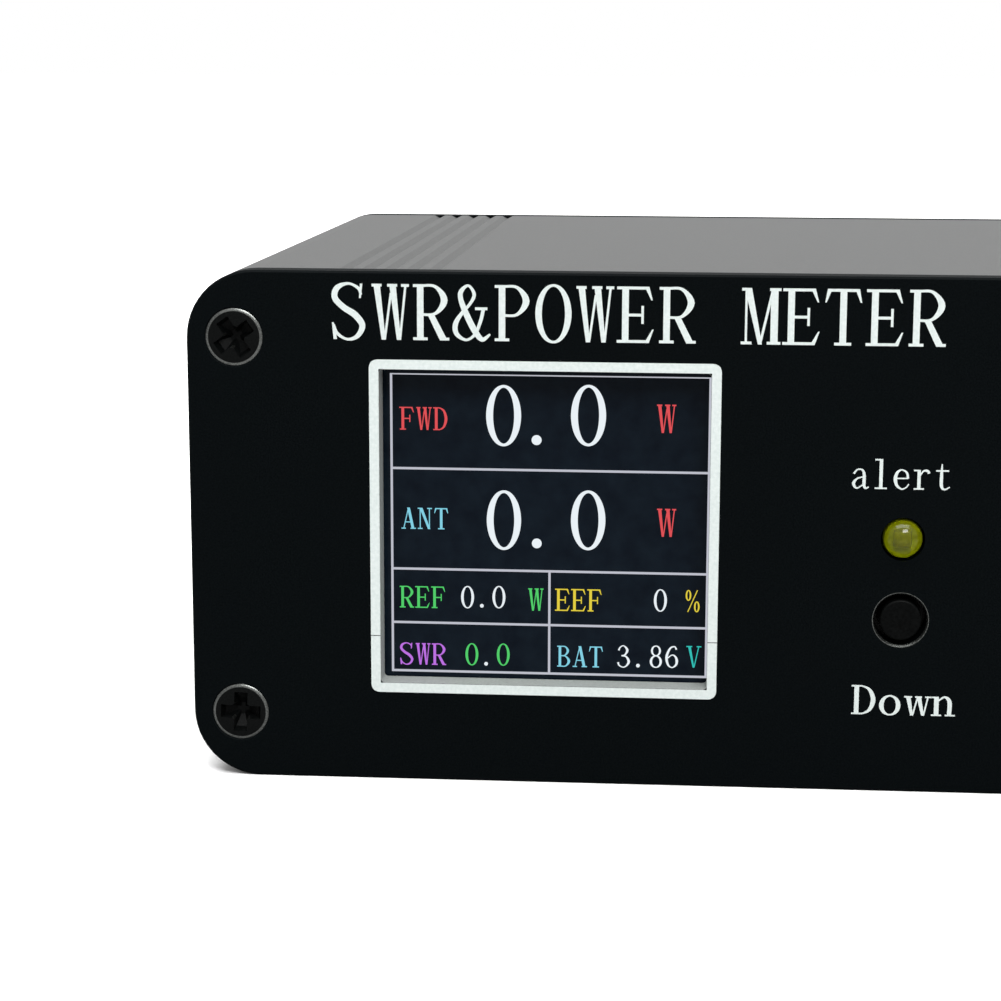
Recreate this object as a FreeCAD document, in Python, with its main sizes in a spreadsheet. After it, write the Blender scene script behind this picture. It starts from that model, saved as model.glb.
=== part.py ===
import FreeCAD, Part
import math
import operator
import os
from types import SimpleNamespace

import Sketcher
from FreeCAD import Placement, Rotation, Vector

# A small bench SWR and power meter: an extruded case in two halves, a plate at each end, a colour
# display and keys at the front, two radio sockets and a charging socket at the back.
# +Z is up, the front faces -Y, +X is to the right of someone who faces the display.
# The origin is the middle of the case's bottom face. Millimetres.

SIZES = {
    # case and end plates
    "case_width": 88,
    "case_height": 38,
    "case_length": 60,
    "case_wall": 1.6,
    "corner_radius": 5,
    "panel_thickness": 2,
    "panel_bevel": 0.15,
    "seam_bevel": 0.2,
    "lip_width": 0.7,
    "lip_height": 1.5,
    "lip_gap": 0.05,
    "grip_groove_inset": 11.5,
    "grip_groove_pitch": 1.65,
    "grip_groove_width": 1,
    "grip_groove_depth": 0.25,
    "grip_groove_count": 5,
    "rail_depth": 2,
    "rail_thickness": 1,
    # panel screws
    "screw_inset_side": 3.5,
    "screw_inset_edge": 4.9,
    "screw_radius": 1.25,
    "screw_head_radius": 2.2,
    "screw_length": 8,
    "screw_hole_gap": 0.15,
    "screw_recess_length": 2.8,
    "screw_recess_width": 0.9,
    "screw_recess_depth": 0.6,
    "screw_channel_radius": 3,
    "screw_thread_gap": 0.05,
    # display
    "window_left": 14.1,
    "window_rise": 0.15,
    "window_width": 24.2,
    "window_height": 23.5,
    "window_corner": 0.3,
    "glass_width": 26.2,
    "glass_height": 29.2,
    "glass_thickness": 0.7,
    "glass_gap": 0.1,
    "glass_margin_top": 1.6,
    "backlight_rim": 0.4,
    "backlight_depth": 2,
    "pad_inset": 2,
    "ribbon_width": 14,
    "ribbon_thickness": 0.3,
    "ribbon_tail": 2.3,
    # boards
    "board_thickness": 1.6,
    "board_slot_gap": 0.1,
    "control_gap": 4.6,
    "control_board_margin": 7,
    "control_board_height": 30,
    "main_board_height": 9.5,
    "main_board_rear_gap": 3.5,
    "main_board_side_gap": 0.2,
    "board_tab_width": 12,
    "board_tab_gap": 0.2,
    "header_pins": 8,
    "header_pitch": 2.54,
    "header_size": 2.5,
    "header_pin_width": 0.64,
    "header_pin_reach": 2,
    # keys
    "key_left": 52.3,
    "key_pitch": 12,
    "key_drop": 6,
    "key_radius": 1.5,
    "key_hole_radius": 1.9,
    "key_hole_bevel": 0.15,
    "key_proud": 0.1,
    "key_travel": 0.25,
    "switch_width": 6,
    "switch_depth": 3.5,
    "switch_bore_gap": 0.15,
    "key_in_switch": 0.8,
    "key_stop_gap": 0.15,
    # power switch
    "power_cap_edge": 0.3,
    "power_left": 75,
    "power_cap_radius": 3.3,
    "power_cap_gap": 0.3,
    "power_cap_proud": 2.2,
    "power_travel": 2,
    "power_cap_tail": 0.2,
    "power_stop_gap": 0.4,
    "power_plunger_radius": 1.5,
    "power_plunger_grip": 2,
    "power_plunger_inset": 1.8,
    "power_bore_gap": 0.15,
    "power_body_width": 7,
    "power_body_depth": 7,
    "power_board_gap": 0.2,
    "power_shoulder": 1,
    # indicators
    "lamp_radius": 1.5,
    "lamp_gap": 0.1,
    "lamp_length": 5.3,
    "lamp_proud": 0.8,
    "lamp_dome_radius": 1.44,
    "lamp_flange": 0.4,
    "lamp_flange_depth": 1,
    "lamp_lead_pitch": 2.54,
    "lamp_lead_width": 0.5,
    # radio sockets
    "socket_spacing": 42,
    "flange_width": 25.4,
    "flange_thickness": 1.6,
    "flange_corner": 1,
    "flange_hole_spacing": 18.26,
    "flange_hole_radius": 1.65,
    "barrel_radius": 7.94,
    "barrel_length": 11.1,
    "barrel_mouth_radius": 6.3,
    "barrel_mouth_depth": 2.5,
    "barrel_notch_width": 1.6,
    "barrel_notch_depth": 1.2,
    "barrel_bore_radius": 5.2,
    "socket_boss_radius": 7.7,
    "socket_boss_length": 4,
    "socket_hole_gap": 0.3,
    "contact_radius": 2.9,
    "contact_bore_radius": 2,
    "contact_bore_depth": 9.5,
    "insulator_tail": 1,
    "cup_radius": 2.2,
    "cup_length": 7,
    "cup_depth": 3,
    "socket_screw_radius": 1.5,
    "socket_screw_head": 2.8,
    "socket_screw_head_height": 1.8,
    "socket_screw_length": 6.4,
    "nut_flats": 5.5,
    "nut_thickness": 2.4,
    # charging socket
    "port_width": 8.94,
    "port_height": 3.26,
    "port_depth": 7.3,
    "port_corner": 1.3,
    "port_wall": 0.3,
    "port_mouth_depth": 6.2,
    "port_panel_gap": 0.3,
    "port_tongue_width": 6.7,
    "port_tongue_thickness": 0.7,
    "port_tongue_length": 4.6,
    # directional coupler
    "line_radius": 1,
    "line_bend": 4,
    "line_front": 6,
    "core_outer_radius": 6.35,
    "core_inner_radius": 3.6,
    "core_thickness": 4.8,
    "core_spacing_gap": 1.3,
    "core_stand": 0.6,
    "line_lead_out": 2,
    "turn_wire": 0.5,
    "turn_gap": 0.02,
    "turn_count": 16,
    "winding_sweep": 300,
    "sampling_radius": 0.5,
    "sampling_bend": 2,
    "sampling_reach": 9,
    "load_radius": 2.2,
    "load_length": 12,
    "load_spacing": 36,
    "diode_radius": 0.9,
    "diode_length": 4,
    # chips and small parts
    "controller_width": 7,
    "controller_right": 20,
    "controller_setback": 8,
    "controller_thickness": 1,
    "charger_width": 5,
    "charger_length": 4,
    "charger_setback": 10,
    "charger_thickness": 1.5,
    "inductor_width": 5,
    "inductor_height": 3,
    "inductor_right": 10,
    "capacitor_left": 12.5,
    "capacitor_pitch": 5,
    "capacitor_radius": 2,
    "capacitor_height": 5,
    "chip_length": 2,
    "chip_width": 1.25,
    "chip_height": 0.6,
    "chip_pitch": 2.5,
    "chip_count": 4,
    # battery
    "cell_length": 50,
    "cell_width": 34,
    "cell_thickness": 5,
    "cell_offset": -5,
    "cell_corner": 1.2,
    "tape_inset": 2,
    "tape_thickness": 0.8,
    "plug_gap": 6,
    "plug_length": 4,
    "plug_width": 5.2,
    "plug_height": 3,
    "battery_socket_length": 6,
    "battery_socket_wall": 0.4,
    "lead_radius": 0.5,
    "lead_pitch": 2,
    "lead_bend": 1,
}

# angle of each panel screw's cross recess, in degrees, as they happened to be tightened
FRONT_SCREW_TURNS = (2, 28, 55, 71)
REAR_SCREW_TURNS = (40, 5, 72, 20)
SOCKET_SCREW_TURNS = (0, 37, 74, 21, 58, 5, 42, 79)

doc = FreeCAD.newDocument("SwrMeter")
pieces = []


class Size:
    """A length that carries both its number and the spreadsheet formula that gives it."""

    def __init__(self, number, formula):
        self.number = float(number)
        self.formula = formula

    def __add__(self, other):
        return combine(self, "+", other)

    def __radd__(self, other):
        return combine(other, "+", self)

    def __sub__(self, other):
        return combine(self, "-", other)

    def __rsub__(self, other):
        return combine(other, "-", self)

    def __mul__(self, other):
        return combine(self, "*", other)

    def __rmul__(self, other):
        return combine(other, "*", self)

    def __truediv__(self, other):
        return combine(self, "/", other)

    def __neg__(self):
        return combine(0, "-", self)


OPERATIONS = {"+": operator.add, "-": operator.sub, "*": operator.mul, "/": operator.truediv}


def as_size(value):
    if isinstance(value, Size):
        return value
    return Size(value, f"({float(value)})")


def combine(left, sign, right):
    left = as_size(left)
    right = as_size(right)
    number = OPERATIONS[sign](left.number, right.number)
    return Size(number, f"({left.formula} {sign} {right.formula})")


def fill_sheet():
    sheet = doc.addObject("Spreadsheet::Sheet", "Sizes")
    for row, (alias, number) in enumerate(SIZES.items(), start=1):
        sheet.set(f"A{row}", alias)
        sheet.set(f"B{row}", str(number))
        sheet.setAlias(f"B{row}", alias)
    doc.recompute()
    return SimpleNamespace(**{alias: Size(getattr(sheet, alias), f"Sizes.{alias}") for alias in SIZES})


size = fill_sheet()

half_width = size.case_width / 2
mid_height = size.case_height / 2
front_end = -size.case_length / 2
rear_end = size.case_length / 2
front_face = front_end - size.panel_thickness
rear_face = rear_end + size.panel_thickness
inner_side = half_width - size.case_wall
screw_side = half_width - size.screw_inset_side
board_top = size.main_board_height + size.board_thickness
control_front = front_end + size.control_gap
control_rear = control_front + size.board_thickness
main_board_rear = rear_end - size.main_board_rear_gap
window_x = size.window_left + size.window_width / 2 - half_width
window_z = mid_height + size.window_rise
key_x = size.key_left - half_width
key_z = mid_height - size.key_drop
power_x = size.power_left - half_width
socket_x = size.socket_spacing / 2
KEY_PLACES = {"down": key_x, "up": key_x + size.key_pitch}
SIDES = (-1, 1)


def bind(item, path, value):
    item.setExpression(path, as_size(value).formula)


def place(item, base, turn=None):
    item.Placement = Placement(Vector(), turn or Rotation())
    for letter, value in zip("xyz", base):
        bind(item, f"Placement.Base.{letter}", value)


def keep(item, label):
    """Make the item a sub-part that gets a file of its own."""
    item.Label = label
    pieces.append(item)
    return item


# ---- Part primitives and booleans ----


def block(name, low, high):
    item = doc.addObject("Part::Box", name)
    for path, start, end in zip(("Length", "Width", "Height"), low, high):
        bind(item, path, end - start)
    place(item, low)
    return item


def centred_block(name, centre, widths):
    """A block whose centre is the middle of its base."""
    x, y, z = centre
    wide, deep, high = widths
    return block(name, (x - wide / 2, y - deep / 2, z), (x + wide / 2, y + deep / 2, z + high))


ROD_TURNS = {
    "X": Rotation(Vector(0, 1, 0), 90),
    "Y": Rotation(Vector(1, 0, 0), -90),
    "Z": Rotation(),
}


def rod(name, axis, start, radius, length):
    item = doc.addObject("Part::Cylinder", name)
    bind(item, "Radius", radius)
    bind(item, "Height", length)
    place(item, start, ROD_TURNS[axis])
    return item


def cut(name, base, tool):
    item = doc.addObject("Part::Cut", name)
    item.Base = base
    item.Tool = tool
    return item


def join(name, items):
    item = doc.addObject("Part::MultiFuse", name)
    item.Shapes = items
    return item


def group(name, items):
    """Separate solids of one kind in one node."""
    item = doc.addObject("Part::Compound", name)
    item.Links = items
    return item


# ---- PartDesign bodies ----


class Drawing:
    """A sketch on one of its body's own planes, with every point tied to the spreadsheet."""

    def __init__(self, body, name, role, offset=0):
        plane = next(item for item in body.Origin.OriginFeatures if item.Role == role)
        self.sketch = body.newObject("Sketcher::SketchObject", name)
        self.sketch.AttachmentSupport = [(plane, "")]
        self.sketch.MapMode = "FlatFace"
        bind(self.sketch, "AttachmentOffset.Base.z", offset)

    def fix(self, edge, point, x, y):
        for kind, value in (("DistanceX", as_size(x)), ("DistanceY", as_size(y))):
            constraint = Sketcher.Constraint(kind, -1, 1, edge, point, value.number)
            index = self.sketch.addConstraint(constraint)
            self.sketch.setExpression(f"Constraints[{index}]", value.formula)

    def polygon(self, points):
        corners = [Vector(as_size(x).number, as_size(y).number, 0) for x, y in points]
        first = self.sketch.GeometryCount
        lines = [Part.LineSegment(a, b) for a, b in zip(corners, corners[1:] + corners[:1])]
        self.sketch.addGeometry(lines, False)
        count = len(points)
        joints = [
            Sketcher.Constraint("Coincident", first + k, 2, first + (k + 1) % count, 1)
            for k in range(count)
        ]
        self.sketch.addConstraint(joints)
        for k, (x, y) in enumerate(points):
            self.fix(first + k, 1, x, y)

    def rectangle(self, x0, y0, x1, y1):
        self.polygon([(x0, y0), (x1, y0), (x1, y1), (x0, y1)])

    def circle(self, x, y, radius):
        radius = as_size(radius)
        centre = Vector(as_size(x).number, as_size(y).number, 0)
        edge = self.sketch.addGeometry(Part.Circle(centre, Vector(0, 0, 1), radius.number), False)
        index = self.sketch.addConstraint(Sketcher.Constraint("Radius", edge, radius.number))
        self.sketch.setExpression(f"Constraints[{index}]", radius.formula)
        self.fix(edge, 3, x, y)


def new_body(name):
    return doc.addObject("PartDesign::Body", name)


# for each direction of extrusion: the plane to draw on, and which way that plane's normal points
PLANES = {"X": ("YZ_Plane", 1), "Y": ("XZ_Plane", -1), "Z": ("XY_Plane", 1)}


def extrude(body, kind, name, axis, low, high, draw):
    """Pad or Pocket from low to high along +axis; draw(drawing) draws the outline."""
    role, sense = PLANES[axis]
    drawing = Drawing(body, name + "Sketch", role, low if sense > 0 else -low)
    draw(drawing)
    item = body.newObject("PartDesign::" + kind, name)
    item.Profile = drawing.sketch
    bind(item, "Length", as_size(high) - low)
    item.Reversed = (kind == "Pad") == (sense < 0)
    doc.recompute()
    return item


def revolve(body, kind, name, points):
    """Revolution or Groove of a profile of (radius, distance along +Y) points about the Y axis."""
    drawing = Drawing(body, name + "Sketch", "XY_Plane")
    drawing.polygon(points)
    item = body.newObject("PartDesign::" + kind, name)
    item.Profile = drawing.sketch
    item.ReferenceAxis = (drawing.sketch, ["V_Axis"])
    item.Angle = 360
    doc.recompute()
    return item


def dress(body, kind, name, path, value, wanted):
    """Fillet or Chamfer of the edges for which wanted(edge) is true, in the body's own frame."""
    base = body.Tip
    edges = [f"Edge{k}" for k, edge in enumerate(base.Shape.Edges, start=1) if wanted(edge)]
    if not edges:
        raise RuntimeError(f"{body.Name}: {name} finds no edge")
    item = body.newObject("PartDesign::" + kind, name)
    item.Base = (base, edges)
    bind(item, path, value)
    doc.recompute()
    return item


def runs_along(axis, *coordinates):
    """Test for straight edges along an axis, through any of the given places of the other two."""
    along = "XYZ".index(axis)
    others = [k for k in range(3) if k != along]

    def wanted(edge):
        if edge.Curve.TypeId != "Part::GeomLine" or abs(edge.Curve.Direction[along]) < 0.999:
            return False
        at = [edge.Vertexes[0].Point[k] for k in others]
        return any(all(abs(a - b) < 1e-3 for a, b in zip(at, spot)) for spot in coordinates)

    return wanted


def lies_at(axis, level, radius=None):
    """Test for edges in the plane where axis equals level; a radius keeps only circles of that size."""
    letter = "XYZ".index(axis)

    def wanted(edge):
        points = edge.discretize(4)
        if any(abs(point[letter] - level.number) > 1e-3 for point in points):
            return False
        if radius is None:
            return True
        curve = edge.Curve
        return curve.TypeId == "Part::GeomCircle" and abs(curve.Radius - as_size(radius).number) < 1e-3

    return wanted


def pattern(body, name, original, axis, length, count, backwards=False):
    """Repeat a feature along one of the body's own axes."""
    item = body.newObject("PartDesign::LinearPattern", name)
    item.Originals = [original]
    line = next(part for part in body.Origin.OriginFeatures if part.Role == axis + "_Axis")
    item.Direction = (line, [""])
    item.Reversed = backwards
    bind(item, "Length", length)
    item.Occurrences = count
    body.Tip = item
    doc.recompute()
    return item


# ---- Case and end plates ----


def case_half(label):
    """One extruded half, drawn as the lower one: lip on its left side, rebate on its right."""
    body = new_body("Half" + label.title().replace("_", ""))

    def room(drawing):
        top = mid_height + size.lip_height
        drawing.rectangle(-inner_side, size.case_wall, inner_side, top)

    def channels(drawing):
        for side in SIDES:
            drawing.circle(side * screw_side, size.screw_inset_edge, size.screw_channel_radius)

    def screw_holes(drawing):
        for side in SIDES:
            radius = size.screw_radius + size.screw_thread_gap
            drawing.circle(side * screw_side, size.screw_inset_edge, radius)

    def rails(drawing):
        slot_low = size.main_board_height - size.board_slot_gap
        slot_high = board_top + size.board_slot_gap
        into_wall = inner_side + size.case_wall / 2
        for side in SIDES:
            near = side * (inner_side - size.rail_depth)
            far = side * into_wall
            left, right = (near, far) if side > 0 else (far, near)
            drawing.rectangle(left, slot_low - size.rail_thickness, right, slot_low)
            drawing.rectangle(left, slot_high, right, slot_high + size.rail_thickness)

    def lip(drawing):
        base = mid_height - size.case_wall / 2
        drawing.rectangle(-inner_side - size.lip_width, base, -inner_side, mid_height + size.lip_height)

    def rebate(drawing):
        base = mid_height - size.lip_height - size.lip_gap
        right = inner_side + size.lip_width + size.lip_gap
        drawing.rectangle(inner_side, base, right, mid_height + size.case_wall)

    extrude(body, "Pad", "Shell", "Y", front_end, rear_end,
            lambda drawing: drawing.rectangle(-half_width, 0, half_width, mid_height))
    corners = [(side * half_width.number, 0) for side in SIDES]
    dress(body, "Fillet", "Corners", "Radius", size.corner_radius, runs_along("Y", *corners))
    extrude(body, "Pocket", "Room", "Y", front_end, rear_end, room)
    inner = [(side * inner_side.number, size.case_wall.number) for side in SIDES]
    dress(body, "Fillet", "InnerCorners", "Radius", size.corner_radius - size.case_wall,
          runs_along("Y", *inner))
    seam = [(side * half_width.number, mid_height.number) for side in SIDES]
    dress(body, "Chamfer", "SeamBevel", "Size", size.seam_bevel, runs_along("Y", *seam))
    extrude(body, "Pad", "Channels", "Y", front_end, rear_end, channels)
    extrude(body, "Pocket", "ScrewHoles", "Y", front_end, rear_end, screw_holes)
    extrude(body, "Pad", "Rails", "Y", front_end, rear_end, rails)
    extrude(body, "Pad", "Lip", "Y", front_end, rear_end, lip)
    extrude(body, "Pocket", "Rebate", "Y", front_end, rear_end, rebate)
    for side in SIDES:
        place_x = side * (half_width - size.grip_groove_inset)
        half_groove = size.grip_groove_width / 2

        def groove(drawing, middle=place_x):
            drawing.polygon([(middle - half_groove, 0), (middle + half_groove, 0), (middle, size.grip_groove_depth)])

        name = "GripGroove" + ("Left" if side < 0 else "Right")
        first = extrude(body, "Pocket", name, "Y", front_end, rear_end, groove)
        count = SIZES["grip_groove_count"]
        span = size.grip_groove_pitch * (count - 1)
        pattern(body, name + "Row", first, "X", span, count, backwards=side > 0)
    return body


def case_halves():
    bottom = keep(case_half("case_bottom"), "case_bottom")
    place(bottom, (0, 0, 0))
    top = keep(case_half("case_top"), "case_top")
    place(top, (0, 0, size.case_height), Rotation(Vector(0, 1, 0), 180))


def end_plate(name, start, end):
    """A plate with the case's outline; its outward edge is slightly bevelled."""
    body = new_body(name)
    extrude(body, "Pad", "Plate", "Y", start, end,
            lambda drawing: drawing.rectangle(-half_width, 0, half_width, size.case_height))
    corners = [(side * half_width.number, z) for side in SIDES for z in (0, size.case_height.number)]
    dress(body, "Fillet", "Corners", "Radius", size.corner_radius, runs_along("Y", *corners))
    return body


def screw_places():
    top = size.case_height - size.screw_inset_edge
    return [(side * screw_side, z) for z in (size.screw_inset_edge, top) for side in SIDES]


def screw_holes(body, start, end, outer):
    """Countersunk holes for the four panel screws."""
    hole_radius = size.screw_radius + size.screw_hole_gap

    def holes(drawing):
        for x, z in screw_places():
            drawing.circle(x, z, hole_radius)

    extrude(body, "Pocket", "ScrewHoles", "Y", start, end, holes)
    dress(body, "Chamfer", "Countersinks", "Size", size.screw_head_radius - hole_radius,
          lies_at("Y", outer, hole_radius))


def front_panel():
    body = end_plate("FrontPlate", front_face, front_end)
    dress(body, "Chamfer", "Bevel", "Size", size.panel_bevel, lies_at("Y", front_face))
    half_w = size.window_width / 2
    half_h = size.window_height / 2

    def window(drawing):
        drawing.rectangle(window_x - half_w, window_z - half_h, window_x + half_w, window_z + half_h)

    def key_holes(drawing):
        for x in KEY_PLACES.values():
            drawing.circle(x, key_z, size.key_hole_radius)

    def other_holes(drawing):
        for x in KEY_PLACES.values():
            drawing.circle(x, mid_height, size.lamp_radius + size.lamp_gap)
        drawing.circle(power_x, mid_height, size.power_cap_radius + size.power_cap_gap)

    extrude(body, "Pocket", "Window", "Y", front_face, front_end, window)
    corners = [
        ((window_x + side * half_w).number, (window_z + end * half_h).number)
        for side in SIDES for end in SIDES
    ]
    dress(body, "Fillet", "WindowCorners", "Radius", size.window_corner, runs_along("Y", *corners))
    extrude(body, "Pocket", "KeyHoles", "Y", front_face, front_end, key_holes)
    dress(body, "Chamfer", "KeyBevels", "Size", size.key_hole_bevel,
          lies_at("Y", front_face, size.key_hole_radius))
    extrude(body, "Pocket", "LampAndPowerHoles", "Y", front_face, front_end, other_holes)
    screw_holes(body, front_face, front_end, front_face)
    keep(body, "front_panel")


def flange_hole_places():
    half = size.flange_hole_spacing / 2
    return [
        (middle * socket_x + side * half, mid_height + end * half)
        for middle in SIDES for side in SIDES for end in SIDES
    ]


port_z = board_top + size.port_height / 2


def rear_panel():
    body = end_plate("RearPlate", rear_end, rear_face)
    dress(body, "Chamfer", "Bevel", "Size", size.panel_bevel, lies_at("Y", rear_face))
    half_w = size.port_width / 2 + size.port_panel_gap
    half_h = size.port_height / 2 + size.port_panel_gap

    def round_holes(drawing):
        for side in SIDES:
            radius = size.socket_boss_radius + size.socket_hole_gap
            drawing.circle(side * socket_x, mid_height, radius)
        for x, z in flange_hole_places():
            drawing.circle(x, z, size.flange_hole_radius)

    def port_hole(drawing):
        drawing.rectangle(-half_w, port_z - half_h, half_w, port_z + half_h)

    extrude(body, "Pocket", "RoundHoles", "Y", rear_end, rear_face, round_holes)
    extrude(body, "Pocket", "PortHole", "Y", rear_end, rear_face, port_hole)
    corners = [(side * half_w.number, (port_z + end * half_h).number) for side in SIDES for end in SIDES]
    dress(body, "Fillet", "PortCorners", "Radius", size.port_corner, runs_along("Y", *corners))
    screw_holes(body, rear_end, rear_face, rear_face)
    keep(body, "rear_panel")


def cross(length, width):
    """Outline of a cross recess about the origin."""
    far = length / 2
    near = width / 2
    quarter = [(near, far), (near, near), (far, near)]
    outline = []
    for turn in range(4):
        for x, y in quarter:
            for _ in range(turn):
                x, y = y, -x
            outline.append((x, y))
    return outline


def countersunk_screw(name):
    """Screw along +Y whose head's flat face is at its own origin."""
    body = new_body(name)
    cone = size.screw_head_radius - size.screw_radius
    revolve(body, "Revolution", "Turned", [
        (0, 0), (size.screw_head_radius, 0), (size.screw_radius, cone),
        (size.screw_radius, size.screw_length), (0, size.screw_length),
    ])
    outline = cross(size.screw_recess_length, size.screw_recess_width)
    extrude(body, "Pocket", "Recess", "Y", 0, size.screw_recess_depth,
            lambda drawing: drawing.polygon(outline))
    return body


def panel_screws():
    front = []
    rear = []
    for k, (x, z) in enumerate(screw_places()):
        screw = countersunk_screw(f"FrontScrew{k}")
        place(screw, (x, front_face, z), Rotation(Vector(0, 1, 0), FRONT_SCREW_TURNS[k]))
        front.append(screw)
        screw = countersunk_screw(f"RearScrew{k}")
        spin = Rotation(Vector(0, 1, 0), REAR_SCREW_TURNS[k])
        place(screw, (x, rear_face, z), spin.multiply(Rotation(Vector(0, 0, 1), 180)))
        rear.append(screw)
    keep(group("FrontScrews", front), "front_panel_screws")
    keep(group("RearScrews", rear), "rear_panel_screws")


# ---- Display ----

glass_front = front_end + size.glass_gap
glass_rear = glass_front + size.glass_thickness
backlight_rear = glass_rear + size.backlight_depth
glass_top = window_z + size.window_height / 2 + size.glass_margin_top
glass_bottom = glass_top - size.glass_height


def display():
    half = size.glass_width / 2
    rim = size.backlight_rim
    keep(block("Glass", (window_x - half, glass_front, glass_bottom),
               (window_x + half, glass_rear, glass_top)), "display_glass")
    keep(block("Backlight", (window_x - half - rim, glass_rear, glass_bottom - rim),
               (window_x + half + rim, backlight_rear, glass_top + rim)), "display_backlight")
    inset = size.pad_inset
    keep(block("Pad", (window_x - half + inset, backlight_rear, glass_bottom + inset),
               (window_x + half - inset, control_front, glass_top - inset)), "display_pad")


def display_ribbon():
    """Flexible circuit that leaves the backlight's lower edge and folds back to the control board."""
    body = new_body("Ribbon")
    thick = size.ribbon_thickness
    top = glass_bottom - size.backlight_rim
    low = top - 2 * thick
    start = glass_rear + size.backlight_depth / 2
    tail = low + size.ribbon_tail
    outline = [
        (start, top), (start, low), (control_front, low), (control_front, tail),
        (control_front - thick, tail), (control_front - thick, low + thick),
        (start + thick, low + thick), (start + thick, top),
    ]
    half = size.ribbon_width / 2
    extrude(body, "Pad", "Strip", "X", window_x - half, window_x + half,
            lambda drawing: drawing.polygon(outline))
    keep(body, "display_ribbon")


# ---- Circuit boards ----


def control_board():
    """Board behind the front panel; the power switch passes through it."""
    body = new_body("ControlBoard")
    half_w = half_width - size.control_board_margin
    half_h = size.control_board_height / 2
    hole = size.power_body_width / 2 + size.power_board_gap
    extrude(body, "Pad", "Plate", "Y", control_front, control_rear,
            lambda drawing: drawing.rectangle(-half_w, mid_height - half_h, half_w, mid_height + half_h))
    extrude(body, "Pocket", "SwitchHole", "Y", control_front, control_rear,
            lambda drawing: drawing.rectangle(power_x - hole, mid_height - hole,
                                              power_x + hole, mid_height + hole))
    keep(body, "control_board")


def main_board():
    """Board that slides into the lower half's slots; a tab carries the charging socket."""
    body = new_body("MainBoard")
    side = inner_side - size.main_board_side_gap
    tab = size.board_tab_width / 2
    tab_end = rear_end - size.board_tab_gap
    outline = [
        (-side, control_rear), (side, control_rear), (side, main_board_rear), (tab, main_board_rear),
        (tab, tab_end), (-tab, tab_end), (-tab, main_board_rear), (-side, main_board_rear),
    ]
    extrude(body, "Pad", "Plate", "Z", size.main_board_height, board_top,
            lambda drawing: drawing.polygon(outline))
    keep(body, "main_board")


def board_header():
    """Pin header that joins the main board to the control board."""
    body = new_body("Header")
    count = SIZES["header_pins"]
    half = size.header_pins * size.header_pitch / 2
    rear = control_rear + size.header_size
    top = board_top + size.header_size
    pin = size.header_pin_width
    reach = rear + size.header_pin_reach
    middle = board_top + size.header_size / 2
    first = -half + (size.header_pitch - pin) / 2
    outline = [
        (rear, middle - pin / 2), (reach - pin, middle - pin / 2), (reach - pin, board_top),
        (reach, board_top), (reach, middle + pin / 2), (rear, middle + pin / 2),
    ]
    extrude(body, "Pad", "Block", "Y", control_rear, rear,
            lambda drawing: drawing.rectangle(-half, board_top, half, top))
    leg = extrude(body, "Pad", "Pin", "X", first, first + pin,
                  lambda drawing: drawing.polygon(outline))
    pattern(body, "Pins", leg, "X", size.header_pitch * (count - 1), count)
    keep(body, "board_header")


def on_board(name, x, y, widths):
    return centred_block(name, (x, y, board_top), widths)


def chips():
    """Controller, charger, inductor and small parts, on the main board's upper face."""
    wide = size.controller_width
    keep(on_board("Controller", size.controller_right, control_rear + size.controller_setback,
                  (wide, wide, size.controller_thickness)), "controller_chip")
    charger_y = main_board_rear - size.charger_setback
    keep(on_board("Charger", 0, charger_y,
                  (size.charger_width, size.charger_length, size.charger_thickness)), "charger_chip")
    coil = size.inductor_width
    keep(on_board("Inductor", size.inductor_right, charger_y, (coil, coil, size.inductor_height)),
         "power_inductor")


def capacitors():
    """Two upright capacitor cans beside the charger."""
    y = main_board_rear - size.charger_setback
    cans = [
        rod("Can", "Z", (side * size.capacitor_pitch / 2 - size.capacitor_left, y, board_top),
            size.capacitor_radius, size.capacitor_height)
        for side in SIDES
    ]
    keep(group("Cans", cans), "board_capacitors")


def resistors():
    """A row of small chip resistors, level with the controller."""
    y = control_rear + size.controller_setback
    row = [
        on_board("Resistor", k * size.chip_pitch - size.controller_right, y,
                 (size.chip_width, size.chip_length, size.chip_height))
        for k in range(SIZES["chip_count"])
    ]
    keep(group("Resistors", row), "board_resistors")


# ---- Keys, power switch and indicators ----


def key_switches():
    """Momentary switches on the control board, with stems through the front panel."""
    half = size.switch_width / 2
    face = control_front - size.switch_depth
    for name, x in KEY_PLACES.items():
        low = (x - half, face, key_z - half)
        high = (x + half, control_front, key_z + half)
        body = block(name.title() + "Block", low, high)
        bore_depth = size.key_in_switch + size.key_travel + size.key_stop_gap
        bore = rod(name.title() + "Bore", "Y", (x, face, key_z), size.key_radius + size.switch_bore_gap,
                   bore_depth)
        keep(cut(name.title() + "Switch", body, bore), name + "_switch")
        stem = new_body(name.title() + "Stem")
        front = front_face - size.key_proud
        rear = face + size.key_in_switch
        revolve(stem, "Revolution", "Turned",
                [(0, 0), (size.key_radius, 0), (size.key_radius, rear - front), (0, rear - front)])
        dress(stem, "Fillet", "Edge", "Radius", size.panel_bevel,
              lies_at("Y", as_size(0), size.key_radius))
        place(stem, (x, front, key_z))
        keep(stem, name + "_key")


cap_front = front_face - size.power_cap_proud
cap_rear = front_end - size.power_cap_tail
power_body_front = cap_rear + size.power_travel + size.power_stop_gap


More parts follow.
